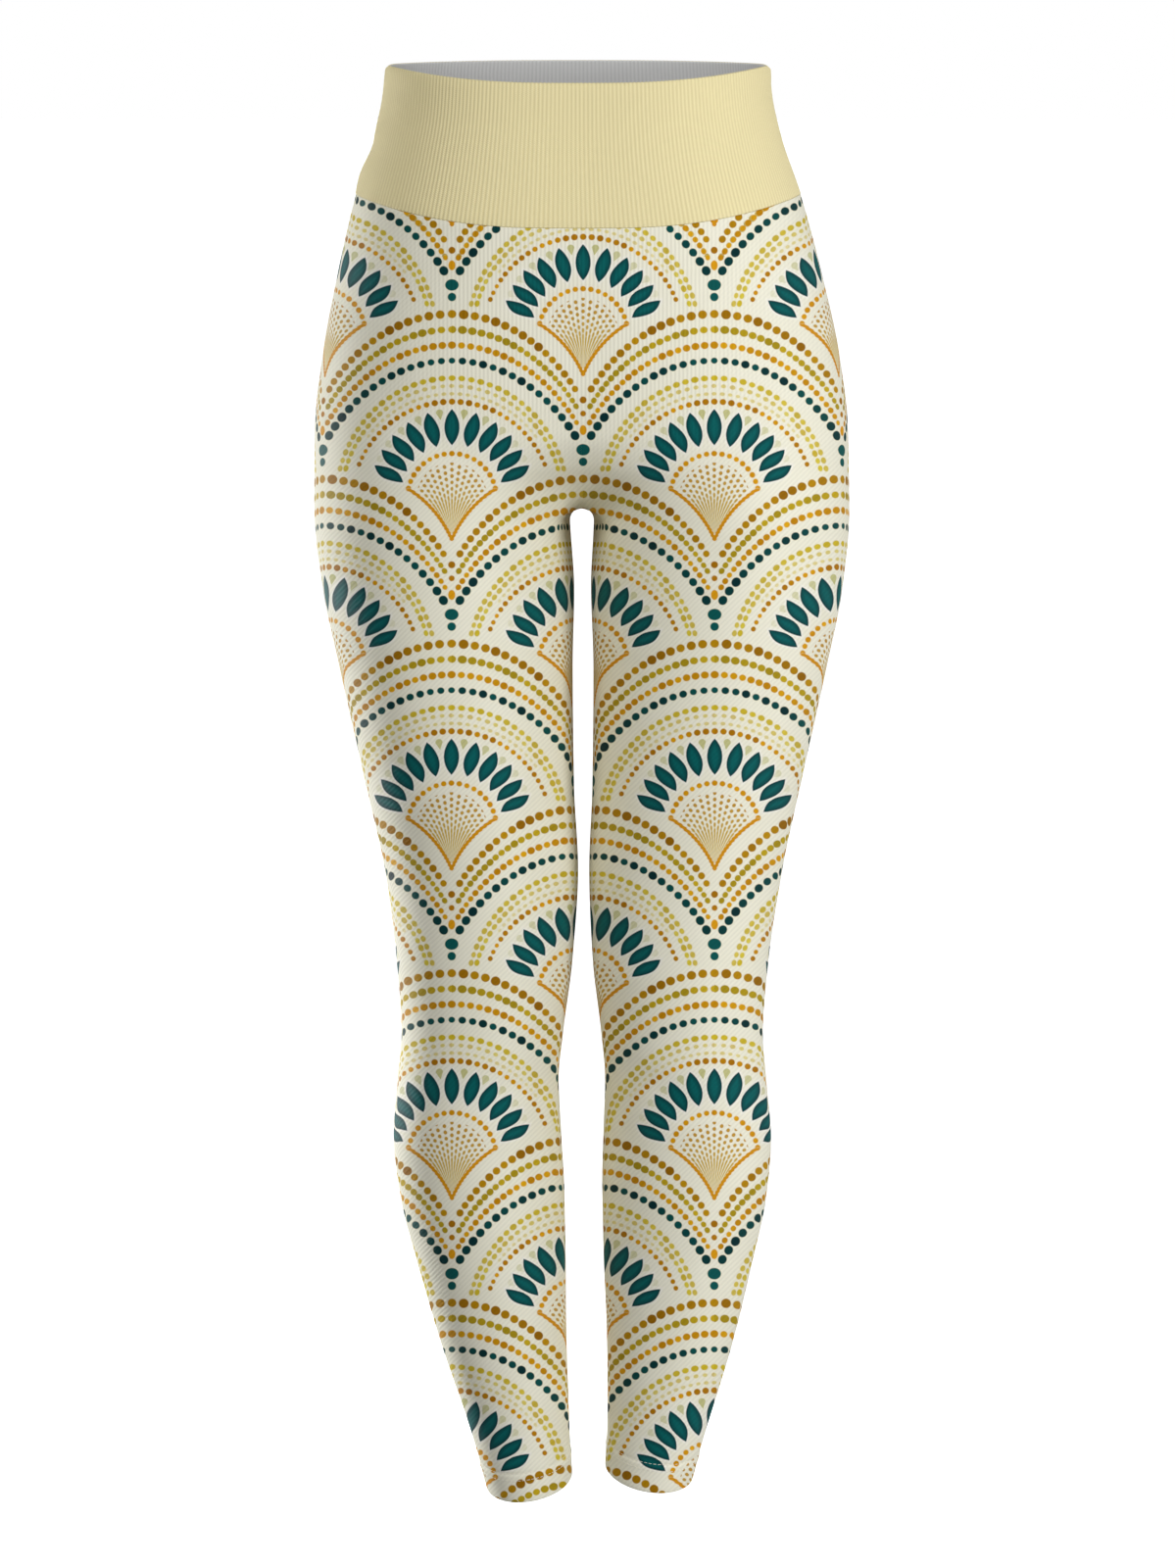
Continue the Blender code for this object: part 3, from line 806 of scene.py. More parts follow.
def print_fan(add, ground, x, y):
    """The fan's two hollow sides and the dotted rays between them."""
    place = add("JOIN", x, y)
    side_centre, side_radius, tip_turn = fan_side()
    to_centre = add("VECTOR DISTANCE", place, side_centre)
    side = add("ABSOLUTE", add("SUBTRACT", to_centre, side_radius))
    beads = wave(add, "COSINE", y, BEAD_PITCH)
    side_edge = add("SUBTRACT", side, add("MULTIPLY_ADD", beads, BEAD_SWELL, FAN_SIDE_WIDTH))
    for more, less in ((FAN_CORNER[1], y), (y, FAN_TIP + 1.0), (x, FAN_CORNER[0] + 1.0)):
        side_edge = add("MAXIMUM", side_edge, add("SUBTRACT", more, less))

    up = add("SUBTRACT", FAN_TIP, y)
    reach = add("VECTOR LENGTH", add("JOIN", x, up))
    side_turn = add("MULTIPLY_ADD", reach, 0.5 / side_radius, tip_turn)
    share = add("DIVIDE", add("ARCTAN2", x, up), side_turn)
    count = add("MULTIPLY", share, RAY_COUNT)
    number = add("ROUND", count)
    off = add("MULTIPLY", add("SUBTRACT", count, number), 1.0 / RAY_COUNT)
    width = add("MULTIPLY", side_turn, reach)
    step = add("MULTIPLY_ADD", reach, 1.0 / RAY_PITCH, add("MULTIPLY", number, 0.5))
    lengthways = add("MULTIPLY", add("SUBTRACT", step, add("ROUND", step)), RAY_PITCH)
    shorter = add("MULTIPLY", lengthways, add("RANGE", reach, *RAY_SQUEEZE))
    dot = add("VECTOR LENGTH", add("JOIN", add("MULTIPLY", off, width), shorter))
    dot_size = add("MINIMUM", add("MULTIPLY", width, RAY_DOT / RAY_COUNT), RAY_DOT_MOST)
    dot_edge = add("SUBTRACT", dot, dot_size)
    from_centre = add("VECTOR DISTANCE", place, (0.0, FAN_CENTRE, 0.0))
    limits = (add("SUBTRACT", from_centre, FAN_TOP_ROW),
              add("MULTIPLY", add("SUBTRACT", count, RAY_LAST), RAY_CUT),
              add("SUBTRACT", y, FAN_TIP))
    for limit in limits:
        dot_edge = add("MAXIMUM", dot_edge, limit)
    dot_ink = add("MIX RGBA", add("RANGE", reach, *RAY_SHADE), "D0B038", "BE8C06")
    ground = ink_over(add, ground, dot_edge, dot_ink, 0.95, halo=0.0)
    return ink_over(add, ground, side_edge, "D5920E", 1.0)


# ---------------------------------------------------------------- cloth and thread

# Wales, courses and stitches are drawn this far apart in millimetres. Real ones are under a
# millimetre apart: these are coarser so that they can be seen. LEG_WALE is measured along a row,
# and square to the slanting wales it is 2.4 mm
TRUNK_WALE = 2.7
LEG_WALE = 3.4
REVERSE_COURSE = 1.3
REVERSE_WALE = 1.6
RIB_STITCH = 1.2
CHEVRON = 1.6
BUMP_DEPTH = 0.0002


def printed_knit():
    """Warp-stretch jersey of nylon and elastane, heat printed on a cream ground.

    Smooth and matt with a faint sheen, its wales just visible as fine upright lines.
    """
    add, finish = new_material("printed stretch jersey, heat-transfer print")
    arc_tree = dotted_arc_tree()
    millimetres = add("VECTOR MULTIPLY", add("ShaderNodeUVMap", uv_map="print"),
                      (1000.0, -1000.0, 0.0))
    across, down, _ = add("APART", millimetres).node.outputs

    # The cream ground mottles a little where the cloth took the dye unevenly
    mottle = add("NOISE", millimetres, 0.035, 2.0, noise_dimensions="3D")
    colour = add("MIX RGBA", mottle, "F7F4E2", "F0EDD8")

    moved = add("MULTIPLY", add("LESS_THAN", down, MOVED_ABOVE), MOVED_BY)
    place = scallop_place(add, across, down, moved)
    x, y, _ = add("APART", place).node.outputs
    higher = add("VECTOR SUBTRACT", place, add("JOIN", 0.0, moved))
    higher_y = add("APART", higher, out=1)
    for number, dots in enumerate(DOTS):
        colour = add("ShaderNodeGroup", colour, higher if number in MOVED_ROWS else place,
                     *arc_values(number, dots), node_tree=arc_tree)
    for number, spot in enumerate(SPOTS):
        spot_y = higher_y if number in MOVED_SPOTS else y
        away = add("VECTOR SUBTRACT", add("JOIN", x, spot_y),
                   (SCALLOP_WIDTH / 2, spot.down, 0.0))
        scaled = add("VECTOR MULTIPLY", away, (1 / spot.half_width, 1 / spot.half_height, 0.0))
        size = (spot.half_width + spot.half_height) / 2
        edge = add("MULTIPLY_ADD", add("VECTOR LENGTH", scaled), size, -size)
        colour = ink_over(add, colour, edge, spot.ink, 1.0)
    colour = print_leaves(add, colour, x, y)
    colour = print_fan(add, colour, x, higher_y)

    # Wales show upright on the trunk and aslant on the legs
    smooth = {"interpolation_type": "SMOOTHSTEP"}
    trunk = add("RANGE", down, 250.0, 330.0, 1.0, 0.0, **smooth)
    side = add("RANGE", add("ABSOLUTE", across), 60.0, 130.0, 1.0, 0.25, **smooth)
    strength = add("MULTIPLY", trunk, side)
    upright = add("MULTIPLY", wave(add, "COSINE", across, TRUNK_WALE), strength)
    aslant = add("MULTIPLY", wave(add, "COSINE", add("ADD", across, down), LEG_WALE),
                 add("RANGE", strength, 0.0, 1.0, 0.7, 0.0))
    relief = add("ADD", upright, aslant)
    # Painted shade: the colour darkens in the furrows between wales and lightens a little on their
    # crests
    groove_shade = add("RANGE", relief, -1.0, 1.0, 0.9, 1.02)
    return finish(Base_Color=add("VECTOR SCALE", colour, groove_shade), Roughness=0.72,
                  Normal=add("ShaderNodeBump", 0.35, BUMP_DEPTH, None, relief),
                  Specular_IOR_Level=0.08, Sheen_Weight=0.03, Sheen_Roughness=0.5)


def knit_reverse():
    """The unprinted side of the jersey: plain white purl loops, duller than the face."""
    add, finish = new_material("white jersey reverse, unprinted")
    millimetres = add("VECTOR MULTIPLY", add("ShaderNodeUVMap", uv_map="print"),
                      (1000.0, 1000.0, 0.0))
    across, down, _ = add("APART", millimetres).node.outputs
    relief = add("MULTIPLY", wave(add, "SINE", down, REVERSE_COURSE),
                 wave(add, "SINE", across, REVERSE_WALE))
    # Painted shade: the white darkens where the loops' relief is low and lightens where it is high
    loop_shade = add("RANGE", relief, -1.0, 1.0, 0.0, 1.0)
    return finish(Base_Color=add("MIX RGBA", loop_shade, "DCDAD3", "EAE8E2"), Roughness=0.9,
                  Normal=add("ShaderNodeBump", 0.3, BUMP_DEPTH, None, relief),
                  Specular_IOR_Level=0.2)


def rib_knit(name, crest, groove_shade, pitch):
    """Cotton rib knitted in the round: raised wales, with painted shade in the furrows between them.

    Matt, with each stitch just told apart along the wale.
    """
    add, finish = new_material(name)
    uv = add("ShaderNodeUVMap", uv_map="cloth")
    across, down, _ = add("APART", uv).node.outputs
    phase = add("FRACT", add("MULTIPLY", across, 1.0 / pitch))
    # off is half at a crest and nought in a furrow
    off = add("ABSOLUTE", add("SUBTRACT", phase, 0.5))
    height = add("RANGE", off, 0.05, 0.42, 0.0, 1.0, interpolation_type="SMOOTHSTEP")
    # Stitches lean in pairs from the middle of each wale, like small chevrons
    rows = add("MULTIPLY_ADD", down, 1000.0 / RIB_STITCH, add("MULTIPLY", off, CHEVRON))
    stitch = wave(add, "SINE", rows, 1.0)
    uneven = add("NOISE", uv, 900.0, 2.0, noise_dimensions="3D")
    # Painted shade: the colour goes from the darker groove colour to the crest colour by the rib's
    # height and each stitch's slope, with random unevenness of the yarn on top
    rib_shade_and_unevenness = add("MULTIPLY_ADD", add("SUBTRACT", uneven, 0.5), 0.25,
                add("MULTIPLY_ADD", stitch, 0.07, height))
    return finish(Base_Color=add("MIX RGBA", rib_shade_and_unevenness, groove_shade, crest), Roughness=0.85,
                  Normal=add("ShaderNodeBump", 0.35, BUMP_DEPTH, None, stitch),
                  Specular_IOR_Level=0.25, Sheen_Weight=0.08)


def sewing_thread():
    """Spun polyester thread, twisted from two plies, so it catches light in short bands."""
    add, finish = new_material("spun polyester thread, two ply")
    # Painted highlight: short lighter bands in the colour where the twisted plies catch light
    twist = add("NOISE", add("ShaderNodeTexCoord", out=3), 2500.0, 1.0, noise_dimensions="3D")
    return finish(Base_Color=add("MIX RGBA", twist, "E4DFCC", "F4F1E6"), Roughness=0.55,
                  Specular_IOR_Level=0.4)


# ---------------------------------------------------------------- pieces

def link(name, data):
    """An object at the origin that shows a mesh, a light or a camera."""
    made = bpy.data.objects.new(name, data)
    bpy.context.scene.collection.objects.link(made)
    return made


def store(mesh, name, values, kind="FLOAT", field="value"):
    """Keeps a value at every point of a mesh, under a name."""
    mesh.attributes.new(name, kind, "POINT").data.foreach_set(field, np.ravel(values))


def turn_outward(mesh):
    """Turns every face of a closed mesh outward."""
    bm = bmesh.new()
    bm.from_mesh(mesh)
    bmesh.ops.recalc_face_normals(bm, faces=bm.faces)
    bm.to_mesh(mesh)
    bm.free()


def keep_result(piece, tree, values):
    """Runs a geometry tree on a piece, with its inputs by name, and keeps the plain mesh."""
    modifier = piece.modifiers.new(tree.name, "NODES")
    modifier.node_group = tree
    for item in tree.interface.items_tree:
        if item.in_out == "INPUT" and item.name in values:
            modifier[item.identifier] = values[item.name]
    graph = bpy.context.evaluated_depsgraph_get()
    graph.update()
    mesh = bpy.data.meshes.new_from_object(piece.evaluated_get(graph), depsgraph=graph)
    piece.modifiers.remove(modifier)
    before = piece.data
    piece.data = mesh
    mesh.name = piece.name
    bpy.data.meshes.remove(before)
    if mesh.materials[0] is None:
        mesh.materials.pop(index=0)


def view_frame():
    """Where the print is seen from: the eye, and the directions across, up and ahead."""
    tilt = math.radians(VIEW_ELEVATION)
    ahead = np.array([0.0, math.cos(tilt), -math.sin(tilt)])
    up = np.array([0.0, math.sin(tilt), math.cos(tilt)])
    eye = np.array(VIEW_TARGET) - ahead * VIEW_DISTANCE
    return eye, np.array([1.0, 0.0, 0.0]), up, ahead


def print_map(points, middle, sign, below_crotch):
    """Where each point of a leg lies on the flat print, in metres.

    In front the print lies as it is seen; beyond the turn of the side it goes on round the back
    at an even scale.
    """
    eye, across, up, ahead = view_frame()
    seen = points.copy()
    offset = points[..., 1] - middle
    half_depth = np.abs(offset).max(axis=1, keepdims=True)
    share = np.clip(np.abs(offset) / half_depth / FLATTENED, 0.0, 1.0)
    seen[..., 1] = middle - np.abs(offset) * share**2 * (3.0 - 2.0 * share)
    away = (seen - eye) @ ahead
    flat_down = PRINT_TOP - (seen - np.array(VIEW_TARGET)) @ up * VIEW_DISTANCE / away
    away = (points - eye) @ ahead
    shift = (points - np.array(VIEW_TARGET)) @ across * VIEW_DISTANCE / away
    flat_across = (shift + VIEW_TARGET[0] - PRINT_CENTRE) * sign

    columns = points.shape[1]
    side = (columns - 1) // 2
    step = np.linalg.norm(np.diff(points, axis=1), axis=-1)
    seen_step = np.diff(flat_across, axis=1)
    facing = np.clip(seen_step / np.maximum(step, 1e-9), -1.0, 1.0)
    turned = np.clip((np.degrees(np.arccos(facing)) - EASE_AFTER) / (90 - EASE_AFTER), 0.0, 1.0)
    least = EASE_FROM + (EASE_TO - EASE_FROM) * turned
    difference = facing - least
    eased = 0.5 * (facing + least + np.sqrt(difference**2 + EASE_BLEND)) - EASE_SET_BACK
    eased = np.where(facing > FACING_FRONT, facing, np.maximum(eased, facing)) * step
    inward = below_crotch * eased + (1.0 - below_crotch) * seen_step
    numbers = np.arange(columns - 1)[None, :]
    used = np.where(numbers < FRONT_COLUMN, inward, eased)
    used = np.where(numbers >= side, BACK_SCALE * step, used)
    total = np.concatenate([np.zeros((len(points), 1)), np.cumsum(used, axis=1)], axis=1)
    total += (flat_across - total)[:, FRONT_COLUMN:FRONT_COLUMN + 1]
    return np.stack([total * sign, -flat_down], axis=-1)


def leg_levels(leg, wall):
    """Levels of a leg's rows at its outer side, closer together at the waist seam and hem."""
    seam = BAND_HEIGHT + SEAM_GAP / 2
    hem = HEM_DOWN[leg]
    stitched = hem - HEM_DEPTH
    top = seam + np.array(TOP_ROWS)
    above = np.linspace(seam + BELOW_SEAM, CROTCH_DOWN, ROWS_ABOVE)
    below = np.linspace(CROTCH_DOWN, stitched - FROM_STITCHES, ROWS_BELOW)[1:]
    turn = stitched + np.array(TURN_ROWS)
    panel = np.linspace(stitched + FROM_STITCHES, hem - wall, HEM_ROWS)
    return np.concatenate([top, above, below, turn, panel]), len(top) + ROWS_ABOVE - 1


def seam_edge(levels, back=True):
    """Places across an allowance that is pressed away from a centre seam or inseam."""
    start = 2.0 if back else 0.0
    near, far = [body_surface(np.abs(start - reach), levels)
                 for reach in (SEAM_MARGIN, SEAM_MARGIN + PROBE_STEP)]
    speed = np.linalg.norm(far - near, axis=-1) / PROBE_STEP
    width = SEAM_START * MM + ALLOWANCE_SHARES[None, :] * (SEAM_ALLOWANCE * MM)
    around = np.abs(start - width / speed[:, None])
    return around, np.broadcast_to(levels[:, None], around.shape)


def allowances(leg):
    """Places round and down a leg of the edges of its cut that lie inside.

    These are its waist seam's and inseam's, and on the left leg both centre seams' as well.
    """
    around = np.linspace(SEAM_MARGIN, 2.0 - SEAM_MARGIN, WAIST_PLACES)
    waist = BAND_HEIGHT + WAIST_START + ALLOWANCE_SHARES * SEAM_ALLOWANCE
    yield tuple(np.broadcast_arrays(around[:, None], waist[None, :]))
    if leg == "left":
        levels = np.linspace(BAND_HEIGHT + SEAM_ALLOWANCE + 1.5, CROTCH_DOWN - 3.0, TRUNK_PLACES)
        yield seam_edge(levels, back=False)
        yield seam_edge(levels)
    stitched = HEM_DOWN[leg] - HEM_DEPTH
    yield seam_edge(np.linspace(CROTCH_DOWN + 4.0, stitched - 1.0, INSEAM_PLACES))


def turned_layer(leg, around, down, settings):
    """Points of a strip of doubled cloth against a leg's inner face, and its faces."""
    under = settings.leg_wall + ALLOWANCE_GAP * MM
    sections = []
    for col, lift in ALLOWANCE_SECTION:
        depth = np.full(len(around), under + settings.allowance_wall * lift)
        sections.append(placed_on(leg, around[:, col], down[:, col], depth)[0])
    strip = np.stack(sections, axis=1)
    count, size = strip.shape[:2]
    sides = []
    for k in range(0, (count - 1) * size, size):
        for j in range(size):
            after = (j + 1) % size
            sides.append([k + j, k + after, k + size + after, k + size + j])
    sides.append(list(range(size)))
    sides.append(list(range((count - 1) * size, count * size))[::-1])
    return strip.reshape(-1, 3), sides


def make_leg(leg, settings, face, reverse):
    """One leg: a thin shell on its solid's form, with its hem turned up inside."""
    sign = side_sign(leg)
    radius = (settings.leg_wall + settings.hem_layer) / MM / 2
    levels, crotch_row = leg_levels(leg, radius)
    around = np.linspace(0.0, 2.0, LEG_COLUMNS + 1)
    along = np.minimum(around, 2.0 - around)
    level = row_level(levels[:, None], along[None, :])
    place = np.broadcast_to(around[None, :], level.shape)
    outer, normals = leg_surface(leg, place, level)
    edge = np.clip(1.0 - (level - BAND_HEIGHT - SEAM_GAP / 2) / EDGE_RADIUS, 0.0, 1.0)
    tucked = EDGE_RADIUS * (1.0 - np.sqrt(1.0 - edge**2)) * MM
    outer = outer - normals * tucked[..., None]
    into_hem = HEM_DEPTH - LAYER_FROM - (HEM_DOWN[leg] - level)
    layered = np.clip(into_hem / LAYER_OVER, 0.0, 1.0)
    wall = settings.leg_wall + settings.hem_layer * layered
    inner = outer - normals * wall[..., None]

    # The fold at the bottom edge goes half way round the turned-up wall
    down_way = unit(outer[-1] - outer[-2])
    core = outer[-1] - normals[-1] * radius * MM
    fold = []
    for step in range(1, FOLD_STEPS):
        angle = math.pi * step / FOLD_STEPS
        swing = normals[-1] * math.cos(angle) + down_way * math.sin(angle)
        fold.append(core + swing * radius * MM)
    fold = np.stack(fold)

    mirror = (sign, 1.0, 1.0)
    outer, inner, fold = (leaned(layer * mirror) for layer in (outer, inner, fold))
    middle = (column(FORM, "front", level) + column(FORM, "back", level)) / 2 * MM
    below = np.clip((levels - CROTCH_DOWN) / EASE_BELOW_CROTCH, 0.0, 1.0)[:, None]
    flat = print_map(outer, middle, sign, below)
    fold_down = np.arange(1, FOLD_STEPS) * radius * MM / 2
    fold_flat = flat[-1][None] - np.array([0.0, 1.0]) * fold_down[:, None, None]

    points = np.concatenate([outer, fold, inner[::-1]])
    placed = np.concatenate([flat, fold_flat, flat[::-1]])
    rows, columns = points.shape[:2]
    outer_rows = len(outer)
    inner_start = outer_rows + len(fold)

    def joined(row):
        """Below the crotch a row closes on itself at the inseam."""
        depth = row if row < outer_rows else rows - 1 - row
        return inner_start > row >= outer_rows or depth >= crotch_row

    def corner(row, col):
        if col == columns - 1 and joined(row):
            col = 0
        return row * columns + col

    faces, uvs, slots = [], [], []

    def face_of(*corners, slot=0):
        ring = [corner(*c) for c in corners]
        kept = [k for k in range(len(ring)) if ring[k] != ring[k - 1]]
        if len(kept) < 3:
            return
        faces.append([ring[k] for k in kept])
        uvs.extend(placed[corners[k]] for k in kept)
        slots.append(slot)

    for row in range(rows - 1):
        slot = 0 if row + 1 < inner_start else 1
        for col in range(columns - 1):
            face_of((row, col), (row + 1, col), (row + 1, col + 1), (row, col + 1), slot=slot)
    for col in range(columns - 1):
        face_of((rows - 1, col), (0, col), (0, col + 1), (rows - 1, col + 1))
    for row in range(crotch_row):
        back = rows - 1 - row
        for col in (0, columns - 1):
            ring = [(row, col), (back, col), (back - 1, col), (row + 1, col)]
            face_of(*(ring if col == 0 else ring[::-1]))

    used = sorted({index for ring in faces for index in ring})
    renumber = {old: new for new, old in enumerate(used)}
    corners = points.reshape(-1, 3)[used].tolist()
    faces = [[renumber[index] for index in ring] for ring in faces]
    for around, down in allowances(leg):
        strip, sides = turned_layer(leg, around, down, settings)
        faces.extend([[index + len(corners) for index in ring] for ring in sides])
        corners.extend(strip.tolist())
        for ring in sides:
            uvs.extend(strip[ring][:, (1, 2)])
            slots.append(1)
    mesh = bpy.data.meshes.new("leg_" + leg)
    mesh.from_pydata(corners, [], faces)
    mesh.uv_layers.new(name="print").data.foreach_set("uv", np.array(uvs).ravel())
    mesh.materials.append(face)
    mesh.materials.append(reverse)
    mesh.polygons.foreach_set("material_index", slots)
    turn_outward(mesh)
    mesh.shade_smooth()
    mesh.set_sharp_from_angle(angle=math.radians(60))
    return link("printed_leg_" + leg, mesh)


def ring_points(level):
    """Evenly spaced points round the whole waist at one level, from the centre front.

    Each comes with its place around and the side it lies on.
    """
    fine = np.linspace(0.0, 2.0, RING_SAMPLES + 1)
    half = body_surface(fine, np.full(fine.shape, level))
    half[(0, -1), 0] = 0.0
    other = half[::-1] * (-1.0, 1.0, 1.0)
    loop = np.concatenate([half, other[1:]])
    turn = np.concatenate([fine, fine[::-1][1:]])
    length = np.concatenate([[0.0], np.cumsum(np.linalg.norm(np.diff(loop, axis=0), axis=1))])
    wanted = np.linspace(0.0, length[-1], RING_SAMPLES + 1)
    points = np.stack([np.interp(wanted, length, loop[:, axis]) for axis in range(3)], axis=1)
    side = np.where(wanted <= length[-1] / 2, 1.0, -1.0)
    return points, np.interp(wanted, length, turn), side


def swell(level, around, side):
    """How far the band stands out at a place, in metres."""
    out = np.zeros(around.shape)
    for one in SWELLS:
        near = np.exp(-(((around - one.around) / one.wide) ** 2))
        near = near * np.exp(-(((level - one.down) / one.tall) ** 2))
        out = out + one.height * near * (side == one.side)
    return out * MM


BandRow = namedtuple("BandRow", "place outward ribbing inside down")


def band_base(settings):
    """The waistband without its ribs: a folded tube of grid rows, opened at the centre front.

    Each row has its points, the way its ribs stand out, how high they stand, whether it lies
    inside and how far down it is along the cloth.
    """
    half = settings.band_wall / 2 / MM
    lip = BAND_LIP
    bottom = BAND_HEIGHT - SEAM_GAP / 2 - lip
    levels = np.linspace(bottom, half, BAND_LEVELS)
    found = [ring_points(level) for level in levels]
    rings = np.stack([points for points, _, _ in found])
    up = unit(-np.gradient(rings, levels, axis=0))
    round_step = np.empty_like(rings)
    round_step[:, 1:-1] = rings[:, 2:] - rings[:, :-2]
    round_step[:, 0] = round_step[:, -1] = rings[:, 1] - rings[:, -2]
    out = unit(np.cross(round_step, up))
    if np.mean(out[0] * (rings[0] - rings[0].mean(axis=0))) < 0:
        out = -out
    for k, (_, around, side) in enumerate(found):
        rings[k] += out[k] * swell(levels[k], around, side)[:, None]
        corner = np.exp(-(((around - 1.0) / CORNER_WIDE) ** 2 + (levels[k] / CORNER_TALL) ** 2))
        rings[k, :, 2] -= CORNER_DROP * corner * MM
    rows = []

    def row(k, depth, rise, angle, ribbing, inside, down):
        way = out[k] * math.cos(angle) + up[k] * math.sin(angle)
        place = rings[k] + (up[k] * rise - out[k] * depth) * MM
        rows.append(BandRow(place, way, ribbing, inside, down * MM))

    quarter = [math.radians(a) for a in (90, 60, 30)]
    for angle in quarter:
        row(0, lip * (1 - math.cos(angle)), -lip * math.sin(angle), -angle, math.cos(angle),
            0.0, levels[0] + lip * math.sin(angle))
    for k, level in enumerate(levels):
        row(k, 0.0, 0.0, 0.0, 1.0, 0.0, level)
    last = len(levels) - 1
    for angle in (math.radians(a) for a in (30, 60, 90, 120, 150)):
        row(last, half * (1 - math.cos(angle)), half * math.sin(angle), angle, 1.0,
            1.0 if angle > math.radians(100) else 0.0, levels[-1] - half * angle)
    for k, level in list(enumerate(levels))[::-1]:
        row(k, 2 * half, 0.0, math.pi, REVERSE_RIBBING, 1.0, -level)
    for angle in quarter[::-1]:
        row(0, 2 * half - lip * (1 - math.cos(angle)), -lip * math.sin(angle),
            math.pi + angle, REVERSE_RIBBING * math.cos(angle), 1.0,
            -levels[0] - lip * math.sin(angle))
    rows.append(rows[0]._replace(inside=1.0, down=(-levels[0] - 2.0) * MM))
    return rows


def rib_tree():
    """A geometry tree that knits even ribs round a band from its plain rows."""
    inputs = {"Geometry": "Geometry", "Ribs": "Int", "Columns per Rib": "Int", "Rows": "Int",
              "Rib Height": "Float", "Rib Pitch": "Float", "Face": "Material",
              "Reverse": "Material"}
    tree, add, given = new_tree("Ribbed band", "GeometryNodeTree", inputs, "Geometry", "Geometry")
    columns = add("MULTIPLY", given["Ribs"], given["Columns per Rib"])
    grid = add("GeometryNodeMeshGrid", 1.0, 1.0, add("ADD", columns, 1.0), given["Rows"])
    corner = grid.node.outputs["UV Map"]
    inside = add("VECTOR MINIMUM", add("VECTOR MAXIMUM", corner, (MAP_MARGIN, MAP_MARGIN, 0.0)),
                 (1 - MAP_MARGIN, 1 - MAP_MARGIN, 0.0))

    def sampled(value, kind):
        """A value of the plain rows at a grid point's place round and down them."""
        place = add("ATTRIBUTE", "place", data_type="FLOAT_VECTOR")
        return add("GeometryNodeSampleUVSurface", given["Geometry"], value, place, inside,
                   data_type=kind)

    surface = sampled(add("GeometryNodeInputPosition"), "FLOAT_VECTOR")
    outward = sampled(add("ATTRIBUTE", "outward", data_type="FLOAT_VECTOR"), "FLOAT_VECTOR")
    ribbing, inner, down = [sampled(add("ATTRIBUTE", name, data_type="FLOAT"), "FLOAT")
                            for name in ("ribbing", "inside", "down")]

    # A rib is round-topped with a narrow furrow: one less the cube of a half sine
    phase = add("MULTIPLY", add("APART", corner), given["Ribs"])
    half_sine = add("ABSOLUTE", add("SINE", add("MULTIPLY", phase, math.pi)))
    crest = add("SUBTRACT", 1.0, add("POWER", half_sine, 3.0))
    height = add("MULTIPLY", add("MULTIPLY", crest, given["Rib Height"]), ribbing)
    raised = add("VECTOR SCALE", outward, height)
    knitted = add("GeometryNodeSetPosition", grid, None, add("VECTOR ADD", surface, raised))
    cloth = add("JOIN", add("MULTIPLY", phase, given["Rib Pitch"]), down)
    mapped = add("GeometryNodeStoreNamedAttribute", knitted, None, "cloth", cloth,
                 data_type="FLOAT2", domain="CORNER")
    is_inner = add("FunctionNodeCompare", inner, 0.5, data_type="FLOAT",
                   operation="GREATER_THAN")
    faced = add("GeometryNodeSetMaterial", mapped, None, given["Face"])
    lined = add("GeometryNodeSetMaterial", faced, is_inner, given["Reverse"])
    closed = add("GeometryNodeMergeByDistance", lined, None, WELD)
    add("NodeGroupOutput", add("GeometryNodeSetShadeSmooth", closed))
    return tree


def make_waistband(settings, face, reverse):
    """The waistband: its plain rows by script, its ribs by a geometry tree."""
    rows = band_base(settings)
    points = leaned(np.stack([row.place for row in rows]))
    count, columns = points.shape[:2]
    starts = [r * columns + c for r in range(count - 1) for c in range(columns - 1)]
    faces = [(a, a + 1, a + columns + 1, a + columns) for a in starts]
    mesh = bpy.data.meshes.new("waistband")
    mesh.from_pydata(points.reshape(-1, 3).tolist(), [], faces)
    loops = np.empty(len(mesh.loops), dtype=int)
    mesh.loops.foreach_get("vertex_index", loops)
    share = np.stack([loops % columns / (columns - 1), loops // columns / (count - 1)], axis=1)
    mesh.uv_layers.new(name="place").data.foreach_set("uv", share.ravel())
    for name in ("ribbing", "inside", "down"):
        store(mesh, name, np.repeat([getattr(row, name) for row in rows], columns))
    store(mesh, "outward", np.stack([row.outward for row in rows]), "FLOAT_VECTOR", "vector")
    piece = link("ribbed_waistband", mesh)
    keep_result(piece, rib_tree(), {
        "Ribs": settings.ribs,
        "Columns per Rib": COLUMNS_PER_RIB,
        "Rows": count,
        "Rib Height": settings.rib_height,
        "Rib Pitch": settings.rib_pitch,
        "Face": face,
        "Reverse": reverse,
    })
    turn_outward(piece.data)
    return piece


# ---------------------------------------------------------------- sewing

